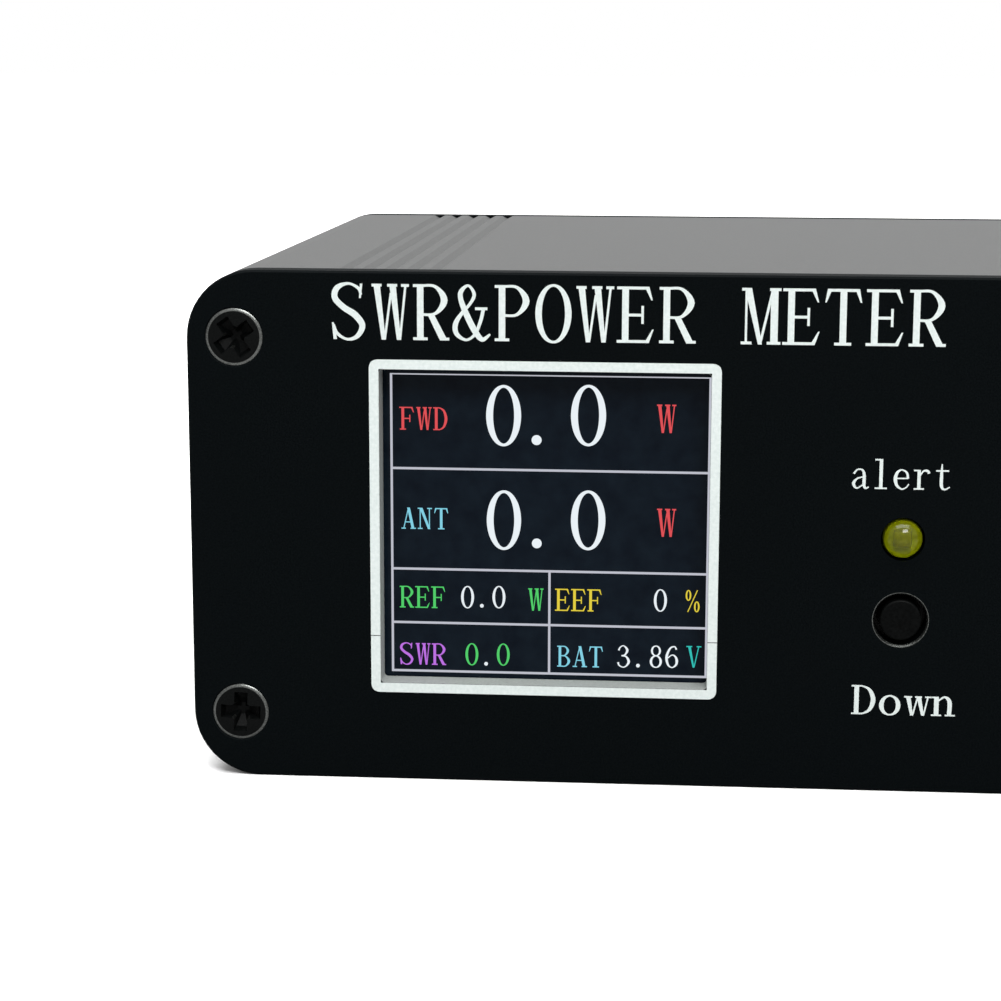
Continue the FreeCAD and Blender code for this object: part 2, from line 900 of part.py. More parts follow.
def power_switch():
    """Push-on, push-off switch through the control board, with a cap pressed on its plunger."""
    z = mid_height
    half = size.power_body_width / 2
    housing = block("PowerBlock", (power_x - half, power_body_front, z - half),
                    (power_x + half, power_body_front + size.power_body_depth, z + half))
    wide = half + size.power_shoulder
    shoulder = block("PowerShoulder", (power_x - wide, control_front - size.power_shoulder, z - wide),
                     (power_x + wide, control_front, z + wide))
    body = join("PowerBody", [housing, shoulder])
    bore_radius = size.power_plunger_radius + size.power_bore_gap
    bore_depth = size.power_plunger_inset + size.power_travel + size.power_stop_gap
    bore = rod("PowerBore", "Y", (power_x, power_body_front, z), bore_radius, bore_depth)
    keep(cut("PowerSwitch", body, bore), "power_switch")
    plunger_front = cap_rear - size.power_plunger_grip
    plunger_rear = power_body_front + size.power_plunger_inset
    keep(rod("Plunger", "Y", (power_x, plunger_front, z), size.power_plunger_radius,
             plunger_rear - plunger_front), "power_plunger")
    cap = new_body("PowerCap")
    length = cap_rear - cap_front
    seat = length - size.power_plunger_grip
    revolve(cap, "Revolution", "Turned", [
        (0, 0), (size.power_cap_radius, 0), (size.power_cap_radius, length),
        (size.power_plunger_radius, length), (size.power_plunger_radius, seat), (0, seat),
    ])
    dress(cap, "Fillet", "Edge", "Radius", size.power_cap_edge,
          lies_at("Y", as_size(0), size.power_cap_radius))
    place(cap, (power_x, cap_front, z))
    keep(cap, "power_cap")


lamp_front = front_face - size.lamp_proud
lamp_rear = lamp_front + size.lamp_length


def indicators():
    """Round indicator lamps in the front panel, with their leads to the control board."""
    leads = []
    for name, x in zip(("alert", "charge"), KEY_PLACES.values()):
        lamp = new_body(name.title() + "Lamp")
        shoulder = size.lamp_length - size.lamp_flange_depth
        flange = size.lamp_radius + size.lamp_flange
        revolve(lamp, "Revolution", "Turned", [
            (0, 0), (size.lamp_radius, 0), (size.lamp_radius, shoulder), (flange, shoulder),
            (flange, size.lamp_length), (0, size.lamp_length),
        ])
        dress(lamp, "Fillet", "Dome", "Radius", size.lamp_dome_radius,
              lies_at("Y", as_size(0), size.lamp_radius))
        place(lamp, (x, lamp_front, mid_height))
        keep(lamp, name + "_lamp")
        for side in SIDES:
            middle = x + side * size.lamp_lead_pitch / 2
            half = size.lamp_lead_width / 2
            low = (middle - half, lamp_rear, mid_height - half)
            high = (middle + half, control_front, mid_height + half)
            leads.append(block(f"{name.title()}Lead", low, high))
    keep(group("Leads", leads), "lamp_leads")


# ---- Radio sockets ----

SOCKETS = {"transmitter": -1, "antenna": 1}


def socket_shell(name):
    """Flanged barrel along +Y; its own origin is the panel's outer face on the barrel's axis."""
    body = new_body(name)
    tip = size.flange_thickness + size.barrel_length
    step = tip - size.barrel_mouth_depth
    boss = size.socket_boss_radius
    half = size.flange_width / 2
    hole = size.flange_hole_spacing / 2
    revolve(body, "Revolution", "Barrel", [
        (size.barrel_bore_radius, -size.socket_boss_length), (boss, -size.socket_boss_length),
        (boss, 0), (size.barrel_radius, 0), (size.barrel_radius, tip), (size.barrel_mouth_radius, tip),
        (size.barrel_mouth_radius, step), (size.barrel_bore_radius, step),
    ])

    def flange(drawing):
        drawing.rectangle(-half, -half, half, half)
        drawing.circle(0, 0, size.barrel_radius - size.panel_bevel)

    def holes(drawing):
        for side in SIDES:
            for end in SIDES:
                drawing.circle(side * hole, end * hole, size.flange_hole_radius)

    def notches(drawing):
        reach = size.barrel_radius + 1
        drawing.polygon(cross(2 * reach, size.barrel_notch_width))

    extrude(body, "Pad", "Flange", "Y", 0, size.flange_thickness, flange)
    corners = [(side * half.number, end * half.number) for side in SIDES for end in SIDES]
    dress(body, "Fillet", "FlangeCorners", "Radius", size.flange_corner, runs_along("Y", *corners))
    extrude(body, "Pocket", "ScrewHoles", "Y", 0, size.flange_thickness, holes)
    extrude(body, "Pocket", "Notches", "Y", tip - size.barrel_notch_depth, tip, notches)
    return body


def socket_insulator(name):
    body = new_body(name)
    step = size.flange_thickness + size.barrel_length - size.barrel_mouth_depth
    tail = -size.socket_boss_length - size.insulator_tail
    revolve(body, "Revolution", "Turned", [
        (size.contact_radius, tail), (size.barrel_bore_radius, tail),
        (size.barrel_bore_radius, step), (size.contact_radius, step),
    ])
    return body


def socket_contact(name):
    """Centre contact: a bore for the plug's pin at the front, a solder cup at the back."""
    body = new_body(name)
    front = size.flange_thickness + size.barrel_length - size.barrel_mouth_depth
    tail = -size.socket_boss_length - size.insulator_tail
    end = tail - size.cup_length
    bottom = front - size.contact_bore_depth
    cup_bottom = end + size.cup_depth
    revolve(body, "Revolution", "Turned", [
        (0, bottom), (size.contact_bore_radius, bottom), (size.contact_bore_radius, front),
        (size.contact_radius, front), (size.contact_radius, tail), (size.cup_radius, tail),
        (size.cup_radius, end), (size.line_radius, end), (size.line_radius, cup_bottom), (0, cup_bottom),
    ])
    return body


def radio_sockets():
    makers = {"socket": socket_shell, "insulator": socket_insulator, "contact": socket_contact}
    for name, side in SOCKETS.items():
        for kind, maker in makers.items():
            body = maker(name.title() + kind.title())
            place(body, (side * socket_x, rear_face, mid_height))
            keep(body, f"{name}_{kind}")


def pan_screw(name):
    """Screw along -Y; its own origin is the flange's outer face."""
    body = new_body(name)
    head = size.socket_screw_head_height
    revolve(body, "Revolution", "Turned", [
        (0, -size.socket_screw_length), (size.socket_screw_radius, -size.socket_screw_length),
        (size.socket_screw_radius, 0), (size.socket_screw_head, 0), (size.socket_screw_head, head),
        (0, head),
    ])
    dress(body, "Fillet", "Edge", "Radius", size.socket_screw_head_height / 2,
          lies_at("Y", head, size.socket_screw_head))
    outline = cross(size.screw_recess_length, size.screw_recess_width)
    extrude(body, "Pocket", "Recess", "Y", head - size.screw_recess_depth, head,
            lambda drawing: drawing.polygon(outline))
    return body


def hexagon(flats):
    radius = flats / math.sqrt(3)
    return [
        (radius * math.cos(math.radians(60 * k)), radius * math.sin(math.radians(60 * k)))
        for k in range(6)
    ]


def nut(name):
    """Hexagon nut whose own origin is the face that meets the panel."""
    body = new_body(name)

    def outline(drawing):
        drawing.polygon(hexagon(size.nut_flats))
        drawing.circle(0, 0, size.socket_screw_radius)

    extrude(body, "Pad", "Hexagon", "Y", -size.nut_thickness, 0, outline)
    return body


def socket_fasteners():
    screws = []
    nuts = []
    outer = rear_face + size.flange_thickness
    for k, (x, z) in enumerate(flange_hole_places()):
        screw = pan_screw(f"SocketScrew{k}")
        place(screw, (x, outer, z), Rotation(Vector(0, 1, 0), SOCKET_SCREW_TURNS[k]))
        screws.append(screw)
        piece = nut(f"SocketNut{k}")
        place(piece, (x, rear_end, z))
        nuts.append(piece)
    keep(group("SocketScrews", screws), "socket_screws")
    keep(group("SocketNuts", nuts), "socket_nuts")


# ---- Charging socket ----


def charging_socket():
    """Flat charging socket on the main board's rear tab, its mouth flush with the rear panel."""
    body = new_body("Port")
    half_w = size.port_width / 2
    half_h = size.port_height / 2
    start = rear_face - size.port_depth
    wall = size.port_wall
    extrude(body, "Pad", "Shell", "Y", start, rear_face,
            lambda drawing: drawing.rectangle(-half_w, port_z - half_h, half_w, port_z + half_h))
    in_w = half_w - wall
    in_h = half_h - wall
    mouth = rear_face - size.port_mouth_depth
    extrude(body, "Pocket", "Mouth", "Y", mouth, rear_face,
            lambda drawing: drawing.rectangle(-in_w, port_z - in_h, in_w, port_z + in_h))
    inner = [(side * in_w.number, (port_z + end * in_h).number) for side in SIDES for end in SIDES]
    dress(body, "Fillet", "MouthCorners", "Radius", size.port_corner - wall, runs_along("Y", *inner))
    outer = [(side * half_w.number, (port_z + end * half_h).number) for side in SIDES for end in SIDES]
    dress(body, "Fillet", "Corners", "Radius", size.port_corner, runs_along("Y", *outer))
    keep(body, "charging_socket")
    tongue = size.port_tongue_width / 2
    thick = size.port_tongue_thickness / 2
    keep(block("Tongue", (-tongue, mouth, port_z - thick),
               (tongue, mouth + size.port_tongue_length, port_z + thick)), "charging_tongue")


# ---- Directional coupler ----


# half the angle between two runs from which a corner counts as no corner at all
STRAIGHT_ON = math.radians(89.95)


def wire_shape(points, radius, bend):
    """Round wire along straight runs joined by tangent arcs of one bend radius."""
    corners = [Vector(*(as_size(value).number for value in point)) for point in points]
    edges = []
    here = corners[0]
    for before, corner, after in zip(corners, corners[1:], corners[2:]):
        back = (before - corner).normalize()
        ahead = (after - corner).normalize()
        half_turn = back.getAngle(ahead) / 2
        if half_turn > STRAIGHT_ON:
            continue
        trim = bend.number / math.tan(half_turn)
        middle_way = (back + ahead).normalize()
        centre = corner + middle_way * (bend.number / math.sin(half_turn))
        start = corner + back * trim
        end = corner + ahead * trim
        edges.append(Part.makeLine(here, start))
        edges.append(Part.Arc(start, centre - middle_way * bend.number, end).toShape())
        here = end
    edges.append(Part.makeLine(here, corners[-1]))
    path = Part.Wire(edges)
    start_way = (corners[1] - corners[0]).normalize()
    section = Part.Wire([Part.makeCircle(radius.number, corners[0], start_way)])
    return path.makePipeShell([section], True, True)


def wire(name, points, radius, bend):
    item = doc.addObject("Part::Feature", name)
    item.Shape = wire_shape(points, radius, bend)
    return item


# height at which a core's winding just clears the main board
line_z = board_top + size.core_stand + size.turn_wire + size.core_outer_radius
core_spacing = 2 * (size.core_outer_radius + size.turn_wire) + size.core_spacing_gap


def through_line():
    """Main conductor between the two sockets' solder cups, through the forward core."""
    end = rear_face - size.socket_boss_length - size.insulator_tail - size.cup_length + size.cup_depth
    z = mid_height
    clear = end - size.cup_depth - size.line_lead_out
    keep(wire("Line", [
        (-socket_x, end, z), (-socket_x, clear, z), (-socket_x, size.line_front, line_z),
        (socket_x, size.line_front, line_z), (socket_x, clear, z), (socket_x, end, z),
    ], size.line_radius, size.line_bend), "through_line")


def core(label, y):
    """Ferrite ring whose axis runs along X."""
    body = new_body(label.title().replace("_", ""))
    half = size.core_thickness / 2
    revolve(body, "Revolution", "Turned", [
        (size.core_inner_radius, -half), (size.core_outer_radius, -half),
        (size.core_outer_radius, half), (size.core_inner_radius, half),
    ])
    place(body, (0, y, line_z), Rotation(Vector(0, 0, 1), -90))
    keep(body, label)


def winding(label, y):
    """Turns of enamelled wire round a core, as flat closed rings a few degrees apart.

    A straight lead runs from the first and the last turn down to the main board."""
    turns = []
    count = SIZES["turn_count"]
    inner = size.core_inner_radius - size.turn_gap
    outer = size.core_outer_radius + size.turn_gap
    half_core = size.core_thickness / 2 + size.turn_gap
    wire_half = size.turn_wire / 2
    corner = outer + wire_half
    name = label.title().replace("_", "")
    for k in range(count):
        turn = new_body(f"{name}Turn{k}")

        def ring(drawing):
            lap = size.turn_wire
            drawing.rectangle(-half_core - lap, inner - lap, half_core + lap, outer + lap)
            drawing.rectangle(-half_core, inner, half_core, outer)

        extrude(turn, "Pad", "Ring", "Y", -wire_half, wire_half, ring)
        angle = SIZES["winding_sweep"] * ((k + 0.5) / count - 0.5)
        place(turn, (0, y, line_z), Rotation(Vector(1, 0, 0), angle))
        if k in (0, count - 1):
            swing = math.radians(angle)
            foot = (half_core + wire_half, y - corner * math.sin(swing), board_top)
            lead = rod("WindingLead", "Z", foot, wire_half, line_z + corner * math.cos(swing) - board_top)
            turn = join("LeadOut", [turn, lead])
        turns.append(turn)
    keep(group(name, turns), label)


def sampling_line():
    """Conductor that stands on the main board and passes through the reverse core."""
    y = size.line_front - core_spacing
    reach = size.sampling_reach
    keep(wire("Sampling", [
        (-reach, y, board_top), (-reach, y, line_z), (reach, y, line_z), (reach, y, board_top),
    ], size.sampling_radius, size.sampling_bend), "sampling_line")


def coupler():
    forward_y = size.line_front
    reverse_y = size.line_front - core_spacing
    through_line()
    sampling_line()
    core("forward_core", forward_y)
    core("reverse_core", reverse_y)
    winding("forward_winding", forward_y)
    winding("reverse_winding", reverse_y)


def loads_and_diodes():
    """Termination resistors and detector diodes, lying on the main board."""
    loads = []
    diodes = []
    for side in SIDES:
        x = side * size.load_spacing / 2
        start = (x, -size.load_length / 2, board_top + size.load_radius)
        loads.append(rod("Load", "Y", start, size.load_radius, size.load_length))
        x = side * size.load_spacing / 3
        start = (x, size.diode_length, board_top + size.diode_radius)
        diodes.append(rod("Diode", "Y", start, size.diode_radius, size.diode_length))
    keep(group("Loads", loads), "load_resistors")
    keep(group("Diodes", diodes), "detector_diodes")


# ---- Battery ----

cell_low = size.case_wall + size.tape_thickness
cell_right = size.cell_offset + size.cell_length / 2
cell_left = size.cell_offset - size.cell_length / 2
plug_left = cell_right + size.plug_gap
plug_right = plug_left + size.plug_length


def battery_cell():
    """Flat rechargeable cell on double-sided tape under the main board."""
    body = new_body("Cell")
    half = size.cell_width / 2
    extrude(body, "Pad", "Pouch", "Z", cell_low, cell_low + size.cell_thickness,
            lambda drawing: drawing.rectangle(cell_left, -half, cell_right, half))
    sides = [(y, z) for y in (-half.number, half.number)
             for z in (cell_low.number, (cell_low + size.cell_thickness).number)]
    dress(body, "Fillet", "LongEdges", "Radius", size.cell_corner, runs_along("X", *sides))
    keep(body, "battery_cell")
    inset = size.tape_inset
    keep(block("Tape", (cell_left + inset, -half + inset, size.case_wall),
               (cell_right - inset, half - inset, cell_low)), "battery_tape")


def battery_connector():
    """Plug on the cell's leads, and its socket on the main board's lower face."""
    y = -size.cell_width / 4
    half = size.plug_width / 2
    under = size.main_board_height
    wall = size.battery_socket_wall
    keep(block("BatteryPlug", (plug_left, y - half, under - wall - size.plug_height),
               (plug_right, y + half, under - wall)), "battery_plug")
    keep(block("BatterySocket", (plug_right, y - half - wall, under - 2 * wall - size.plug_height),
               (plug_right + size.battery_socket_length, y + half + wall, under)), "battery_socket")
    low = cell_low + size.cell_thickness / 2
    high = under - wall - size.plug_height / 2
    leads = []
    for side in SIDES:
        lane = y + side * size.lead_pitch / 2
        points = [
            (cell_right, lane, low), (cell_right + size.plug_gap / 3, lane, low),
            (plug_left - size.plug_gap / 3, lane, high), (plug_left, lane, high),
        ]
        leads.append(wire("BatteryLead", points, size.lead_radius, size.lead_bend))
    keep(group("BatteryLeads", leads), "battery_leads")


def check_and_write():
    """Stop on any failed feature or bad shape, then write one file for each sub-part."""
    doc.recompute()
    for item in doc.Objects:
        if "Invalid" in item.State or "Error" in item.State:
            raise RuntimeError(f"{item.Name} ({item.Label}) failed: {item.State}")
    for piece in pieces:
        if piece.Shape.isNull() or not piece.Shape.isValid() or piece.Shape.Volume <= 0:
            raise RuntimeError(f"{piece.Label} has a bad shape")
    os.makedirs("parts", exist_ok=True)
    for piece in pieces:
        piece.Shape.exportStep(f"parts/{piece.Label}.step")
        print(f"{piece.Label}: {len(piece.Shape.Solids)} solid(s), {piece.Shape.Volume:.1f} mm3")


case_halves()
front_panel()
rear_panel()
panel_screws()
display()
display_ribbon()
control_board()
main_board()
board_header()
chips()
capacitors()
resistors()
key_switches()
power_switch()
indicators()
radio_sockets()
socket_fasteners()
charging_socket()
coupler()
loads_and_diodes()
battery_cell()
battery_connector()
check_and_write()
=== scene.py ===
import math

import bmesh
import bpy
from mathutils import Matrix, Vector
from mathutils.geometry import delaunay_2d_cdt, interpolate_bezier


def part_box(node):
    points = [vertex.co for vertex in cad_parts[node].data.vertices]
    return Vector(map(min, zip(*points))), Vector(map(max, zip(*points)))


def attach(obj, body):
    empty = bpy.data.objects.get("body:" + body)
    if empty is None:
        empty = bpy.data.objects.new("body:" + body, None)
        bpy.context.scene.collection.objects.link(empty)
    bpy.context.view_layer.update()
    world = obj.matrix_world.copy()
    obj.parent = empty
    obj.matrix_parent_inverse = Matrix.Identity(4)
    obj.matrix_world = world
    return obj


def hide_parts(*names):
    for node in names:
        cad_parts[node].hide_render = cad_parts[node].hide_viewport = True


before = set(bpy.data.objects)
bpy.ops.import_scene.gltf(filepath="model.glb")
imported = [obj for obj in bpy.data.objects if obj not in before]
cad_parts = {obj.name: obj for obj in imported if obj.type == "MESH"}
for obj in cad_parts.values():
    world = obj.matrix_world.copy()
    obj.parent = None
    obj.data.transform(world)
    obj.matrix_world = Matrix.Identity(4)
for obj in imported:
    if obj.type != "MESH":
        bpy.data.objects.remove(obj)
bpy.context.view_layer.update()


# ---- Camera ----
# Stands just left of the meter's middle and a little above it, 0.17 m in front of the panel.
# A short telephoto lens that looks slightly down and to the left, and leans a quarter of a degree.

mm = 0.001
camera = bpy.data.objects.new("camera", bpy.data.cameras.new("camera"))
camera.data.sensor_width = 36
camera.data.lens = 86.7
camera.data.shift_x = -0.04
camera.data.clip_start = 10 * mm
look_down = math.radians(10.46)
look_left = math.radians(4.18)
lean = math.radians(0.25)
camera_place = Vector((-5.42, -204.68, 53.36)) * mm
camera.matrix_world = (
    Matrix.Translation(camera_place)
    @ Matrix.Rotation(look_left, 4, "Z")
    @ Matrix.Rotation(math.pi / 2 - look_down, 4, "X")
    @ Matrix.Rotation(lean, 4, "Z")
)
bpy.context.scene.collection.objects.link(camera)
bpy.context.scene.camera = camera


# ---- Studio ----
# A pale matt floor that runs to the horizon under an even white surround.
# One broad lamp hangs overhead, one stands behind the meter and a weaker one fills from the front.

bpy.context.scene.view_settings.view_transform = "Standard"


def add_object(name, bm):
    """Turns a bmesh into an object at the origin."""
    mesh = bpy.data.meshes.new(name)
    bm.to_mesh(mesh)
    bm.free()
    made = bpy.data.objects.new(name, mesh)
    bpy.context.scene.collection.objects.link(made)
    return made


def softbox(name, place, aim, width, height, power):
    """A rectangular lamp that shines at a point and is itself unseen; in metres and watts."""
    data = bpy.data.lights.new(name, "AREA")
    data.shape = "RECTANGLE"
    data.size = width
    data.size_y = height
    data.energy = power
    made = bpy.data.objects.new(name, data)
    made.location = place
    made.rotation_euler = (Vector(aim) - Vector(place)).to_track_quat("-Z", "Y").to_euler()
    made.visible_camera = False
    bpy.context.scene.collection.objects.link(made)


def camera_switch(nodes, links, other, seen):
    """A number that is `seen` to the camera and `other` to light that bounces about the scene."""
    ray = nodes.new("ShaderNodeLightPath")
    level = nodes.new("ShaderNodeMapRange")
    level.inputs["To Min"].default_value = other
    level.inputs["To Max"].default_value = seen
    links.new(ray.outputs["Is Camera Ray"], level.inputs["Value"])
    return level


def surround():
    """An even white backdrop; the light it gives is bright overhead and weak near the ground."""
    world = bpy.data.worlds.new("surround")
    world.use_nodes = True
    bpy.context.scene.world = world
    nodes = world.node_tree.nodes
    links = world.node_tree.links
    sky = nodes.new("ShaderNodeTexCoord")
    parts = nodes.new("ShaderNodeSeparateXYZ")
    links.new(sky.outputs["Generated"], parts.inputs["Vector"])
    fade = nodes.new("ShaderNodeMapRange")
    fade.inputs["From Min"].default_value = -0.05
    fade.inputs["From Max"].default_value = 0.7
    fade.inputs["To Min"].default_value = 0.25
    fade.inputs["To Max"].default_value = 0.8
    links.new(parts.outputs["Z"], fade.inputs["Value"])
    level = camera_switch(nodes, links, 0.25, 1.0)
    links.new(fade.outputs["Result"], level.inputs["To Min"])
    links.new(level.outputs["Result"], nodes["Background"].inputs["Strength"])
    nodes["Background"].inputs["Color"].default_value = (1, 1, 1, 1)


def floor():
    """White paper, out to 6 m; far from the meter it shows as bright as the backdrop."""
    fade_start = 0.4
    fade_end = 1.6
    bm = bmesh.new()
    bmesh.ops.create_grid(bm, x_segments=4, y_segments=4, size=6)
    made = add_object("floor", bm)
    paper = bpy.data.materials.new("floor_paper")
    paper.use_nodes = True
    nodes = paper.node_tree.nodes
    links = paper.node_tree.links
    level = camera_switch(nodes, links, 0.25, 1.0)
    links.new(level.outputs["Result"], nodes["Principled BSDF"].inputs["Base Color"])
    where = nodes.new("ShaderNodeTexCoord")
    away = nodes.new("ShaderNodeVectorMath")
    away.operation = "LENGTH"
    links.new(where.outputs["Object"], away.inputs[0])
    far = nodes.new("ShaderNodeMapRange")
    far.inputs["From Min"].default_value = fade_start
    far.inputs["From Max"].default_value = fade_end
    links.new(away.outputs["Value"], far.inputs["Value"])
    lit = camera_switch(nodes, links, 0.0, 0.0)
    links.new(far.outputs["Result"], lit.inputs["To Max"])
    links.new(lit.outputs["Result"], nodes["Principled BSDF"].inputs["Emission Strength"])
    nodes["Principled BSDF"].inputs["Emission Color"].default_value = (1, 1, 1, 1)
    nodes["Principled BSDF"].inputs["Roughness"].default_value = 0.9
    nodes["Principled BSDF"].inputs["Specular IOR Level"].default_value = 0.0
    made.data.materials.append(paper)


floor()
surround()
softbox("overhead_lamp", (0, 0.05, 0.75), (0, 0, 0), 0.9, 0.9, 11)
softbox("back_lamp", (0, 0.9, 0.30), (0, 0, 0.03), 1.6, 0.5, 1.6)
softbox("front_lamp", (0.18, -0.6, 0.62), (0, 0, 0.02), 0.4, 0.3, 5)


# ---- Case halves ----
# Two matching aluminium extrusions, bead blasted and anodised, that hook together at mid height.
# The die leaves faint lines along their length; the five grip grooves are part of the extrusion.


def finish(name, dark, light, rough, grain, stretch=(1, 1, 1), relief=0.0, metallic=0.0, **sockets):
    """A surface whose tone, gloss and relief vary with one fine noise; grain is its size in metres."""
    made = bpy.data.materials.new(name)
    made.use_nodes = True
    nodes = made.node_tree.nodes
    links = made.node_tree.links
    shader = nodes["Principled BSDF"]
    where = nodes.new("ShaderNodeTexCoord")
    spread = nodes.new("ShaderNodeMapping")
    spread.inputs["Scale"].default_value = [1 / (grain * way) for way in stretch]
    links.new(where.outputs["Object"], spread.inputs["Vector"])
    speckle = nodes.new("ShaderNodeTexNoise")
    speckle.inputs["Scale"].default_value = 1
    speckle.inputs["Detail"].default_value = 3
    links.new(spread.outputs["Vector"], speckle.inputs["Vector"])
    tones = nodes.new("ShaderNodeValToRGB")
    tones.color_ramp.elements[0].position = 0.3
    tones.color_ramp.elements[0].color = (*dark, 1)
    tones.color_ramp.elements[1].position = 0.7
    tones.color_ramp.elements[1].color = (*light, 1)
    links.new(speckle.outputs["Fac"], tones.inputs["Fac"])
    links.new(tones.outputs["Color"], shader.inputs["Base Color"])
    gloss = nodes.new("ShaderNodeMapRange")
    gloss.inputs["To Min"].default_value = rough[0]
    gloss.inputs["To Max"].default_value = rough[1]
    links.new(speckle.outputs["Fac"], gloss.inputs["Value"])
    links.new(gloss.outputs["Result"], shader.inputs["Roughness"])
    if relief:
        bump = nodes.new("ShaderNodeBump")
        bump.inputs["Distance"].default_value = relief
        links.new(speckle.outputs["Fac"], bump.inputs["Height"])
        links.new(bump.outputs["Normal"], shader.inputs["Normal"])
    shader.inputs["Metallic"].default_value = metallic
    for socket, value in sockets.items():
        shader.inputs[socket.replace("_", " ")].default_value = value
    return made


def dress_nodes(material, *names):
    """Gives a CAD node's own object a finish."""
    for name in names:
        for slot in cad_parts[name].material_slots:
            slot.material = material


case_finish = finish("case_anodised", (0.016, 0.017, 0.017), (0.058, 0.06, 0.059), (0.43, 0.56),
                     0.16 * mm, (1, 2, 1), 0.009 * mm, Specular_IOR_Level=0.3)
dress_nodes(case_finish, "case_bottom", "case_top")


# ---- End plates ----
# Flat aluminium plates, bead blasted and anodised black, drilled and countersunk.
# The front one has the display's window, two key holes, two lamp holes and the power switch's hole.

panel_finish = finish("panel_anodised", (0.0006, 0.0014, 0.0018), (0.003, 0.0044, 0.005), (0.55, 0.75),
                      0.11 * mm, relief=0.008 * mm, Specular_IOR_Level=0.03)
dress_nodes(panel_finish, "front_panel", "rear_panel")


# ---- Window outline ----
# A white line of paint silk-screened round the display's window, up to the window's edge.
# The opening is sawn through the plate after it is anodised, so its walls are bare metal.

def add_piece(name, bm, paints, body, smooth=30):
    """Finishes a piece: welds it, points its faces outwards, paints it and sets it on its body."""
    bmesh.ops.remove_doubles(bm, verts=bm.verts, dist=weld)
    bmesh.ops.recalc_face_normals(bm, faces=bm.faces)
    made = add_object(name, bm)
    made.data.shade_smooth()
    made.data.set_sharp_from_angle(angle=math.radians(smooth))
    for paint in paints:
        made.data.materials.append(paint)
    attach(made, body)
    return made


weld = 0.0005 * mm
print_white = finish("print_white", (0.65, 0.72, 0.7), (0.75, 0.81, 0.79), (0.5, 0.7), 0.25 * mm,
                     relief=0.004 * mm)
cut_metal = finish("cut_metal", (0.26, 0.28, 0.27), (0.42, 0.45, 0.43), (0.4, 0.6), 0.15 * mm,
                   (1, 0.3, 1), 0.004 * mm, metallic=0.2)
panel_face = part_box("front_panel")[0].y
glass_low, glass_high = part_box("display_glass")
ink = 0.03 * mm
glass_lap = 1 * mm
glass_above_window = 1.6 * mm
window_height = 23.5 * mm
window_left = glass_low.x + glass_lap
window_right = glass_high.x - glass_lap
window_top = glass_high.z - glass_above_window
window_bottom = window_top - window_height
window_middle_x = (window_left + window_right) / 2
outline_width = 0.7 * mm
outline_corner = 0.6 * mm
seam_width = 0.06 * mm
seam_height = 4.3 * mm
wall_corner = 0.3 * mm
wall_setback = 0.06 * mm
wall_thick = 0.03 * mm
wall_depth = 1.88 * mm


def thicken(bm, along):
    """Gives flat faces a thickness along Y."""
    grown = bmesh.ops.extrude_face_region(bm, geom=bm.faces[:], use_keep_orig=True)
    moved = [item for item in grown["geom"] if isinstance(item, bmesh.types.BMVert)]
    bmesh.ops.translate(bm, verts=moved, vec=(0, along, 0))


def raise_ink(bm, facing=1):
    """Gives flat shapes drawn on a panel the thickness of a coat of ink; facing is -1 on the back."""
    thicken(bm, -ink * facing)


def round_off(bm, parts, offset, segments, affect="EDGES"):
    bmesh.ops.bevel(bm, geom=parts, offset=offset, segments=segments, profile=0.5, affect=affect,
                    material=-1)


def window_sheet(margin, setback):
    """An upright sheet the size of the window and its margin, set back behind the panel's face."""
    bm = bmesh.new()
    size = (window_right - window_left + 2 * margin, window_top - window_bottom + 2 * margin, 1)
    bmesh.ops.create_grid(bm, x_segments=1, y_segments=1, size=0.5)
    bmesh.ops.scale(bm, verts=bm.verts, vec=size)
    bmesh.ops.rotate(bm, verts=bm.verts, matrix=Matrix.Rotation(math.pi / 2, 3, "X"))
    middle = Vector((window_middle_x, panel_face + setback, (window_top + window_bottom) / 2))
    bmesh.ops.translate(bm, verts=bm.verts, vec=middle)
    return bm


def keep_rim(bm, width):
    """Leaves a rim of the sheet and removes the rest."""
    rim = bmesh.ops.inset_region(bm, faces=bm.faces[:], thickness=width, use_boundary=True,
                                 use_even_offset=True)["faces"]
    inner = [face for face in bm.faces if face not in rim]
    bmesh.ops.delete(bm, geom=inner, context="FACES")


def window_outline():
    """The painted line; a hairline gap crosses its two upright sides near the bottom."""
    bm = window_sheet(outline_width, 0)
    keep_rim(bm, outline_width)
    reach = (window_right - window_left + outline_width) / 2
    corners = [vert for vert in bm.verts if abs(vert.co.x - window_middle_x) > reach]
    round_off(bm, corners, outline_corner, 5, "VERTICES")
    seam = window_bottom - outline_width + seam_height
    for edge in (-1, 1):
        bmesh.ops.bisect_plane(bm, geom=bm.verts[:] + bm.edges[:] + bm.faces[:],
                               plane_co=(0, 0, seam + edge * seam_width / 2), plane_no=(0, 0, 1))
    gap = [face for face in bm.faces if abs(face.calc_center_median().z - seam) < seam_width / 2]
    bmesh.ops.delete(bm, geom=gap, context="FACES")
    raise_ink(bm)
    add_piece("window_outline", bm, [print_white], "case")


def window_edge():
    """The opening's sawn wall, a hair inside the opening."""
    bm = window_sheet(0, wall_setback)
    round_off(bm, bm.verts[:], wall_corner, 4, "VERTICES")
    keep_rim(bm, wall_thick)
    thicken(bm, wall_depth)
    add_piece("window_edge", bm, [cut_metal], "case")


window_outline()
window_edge()


# ---- Lettering ----
# The panel's legends are silk-screened in white. They only name what each thing does.
# Each letter is drawn with a broad pen: upright strokes thick, level strokes thin, with small serifs.

thin = 0.05
stem = 0.118
weight = 0.9
same_spot = 0.0005


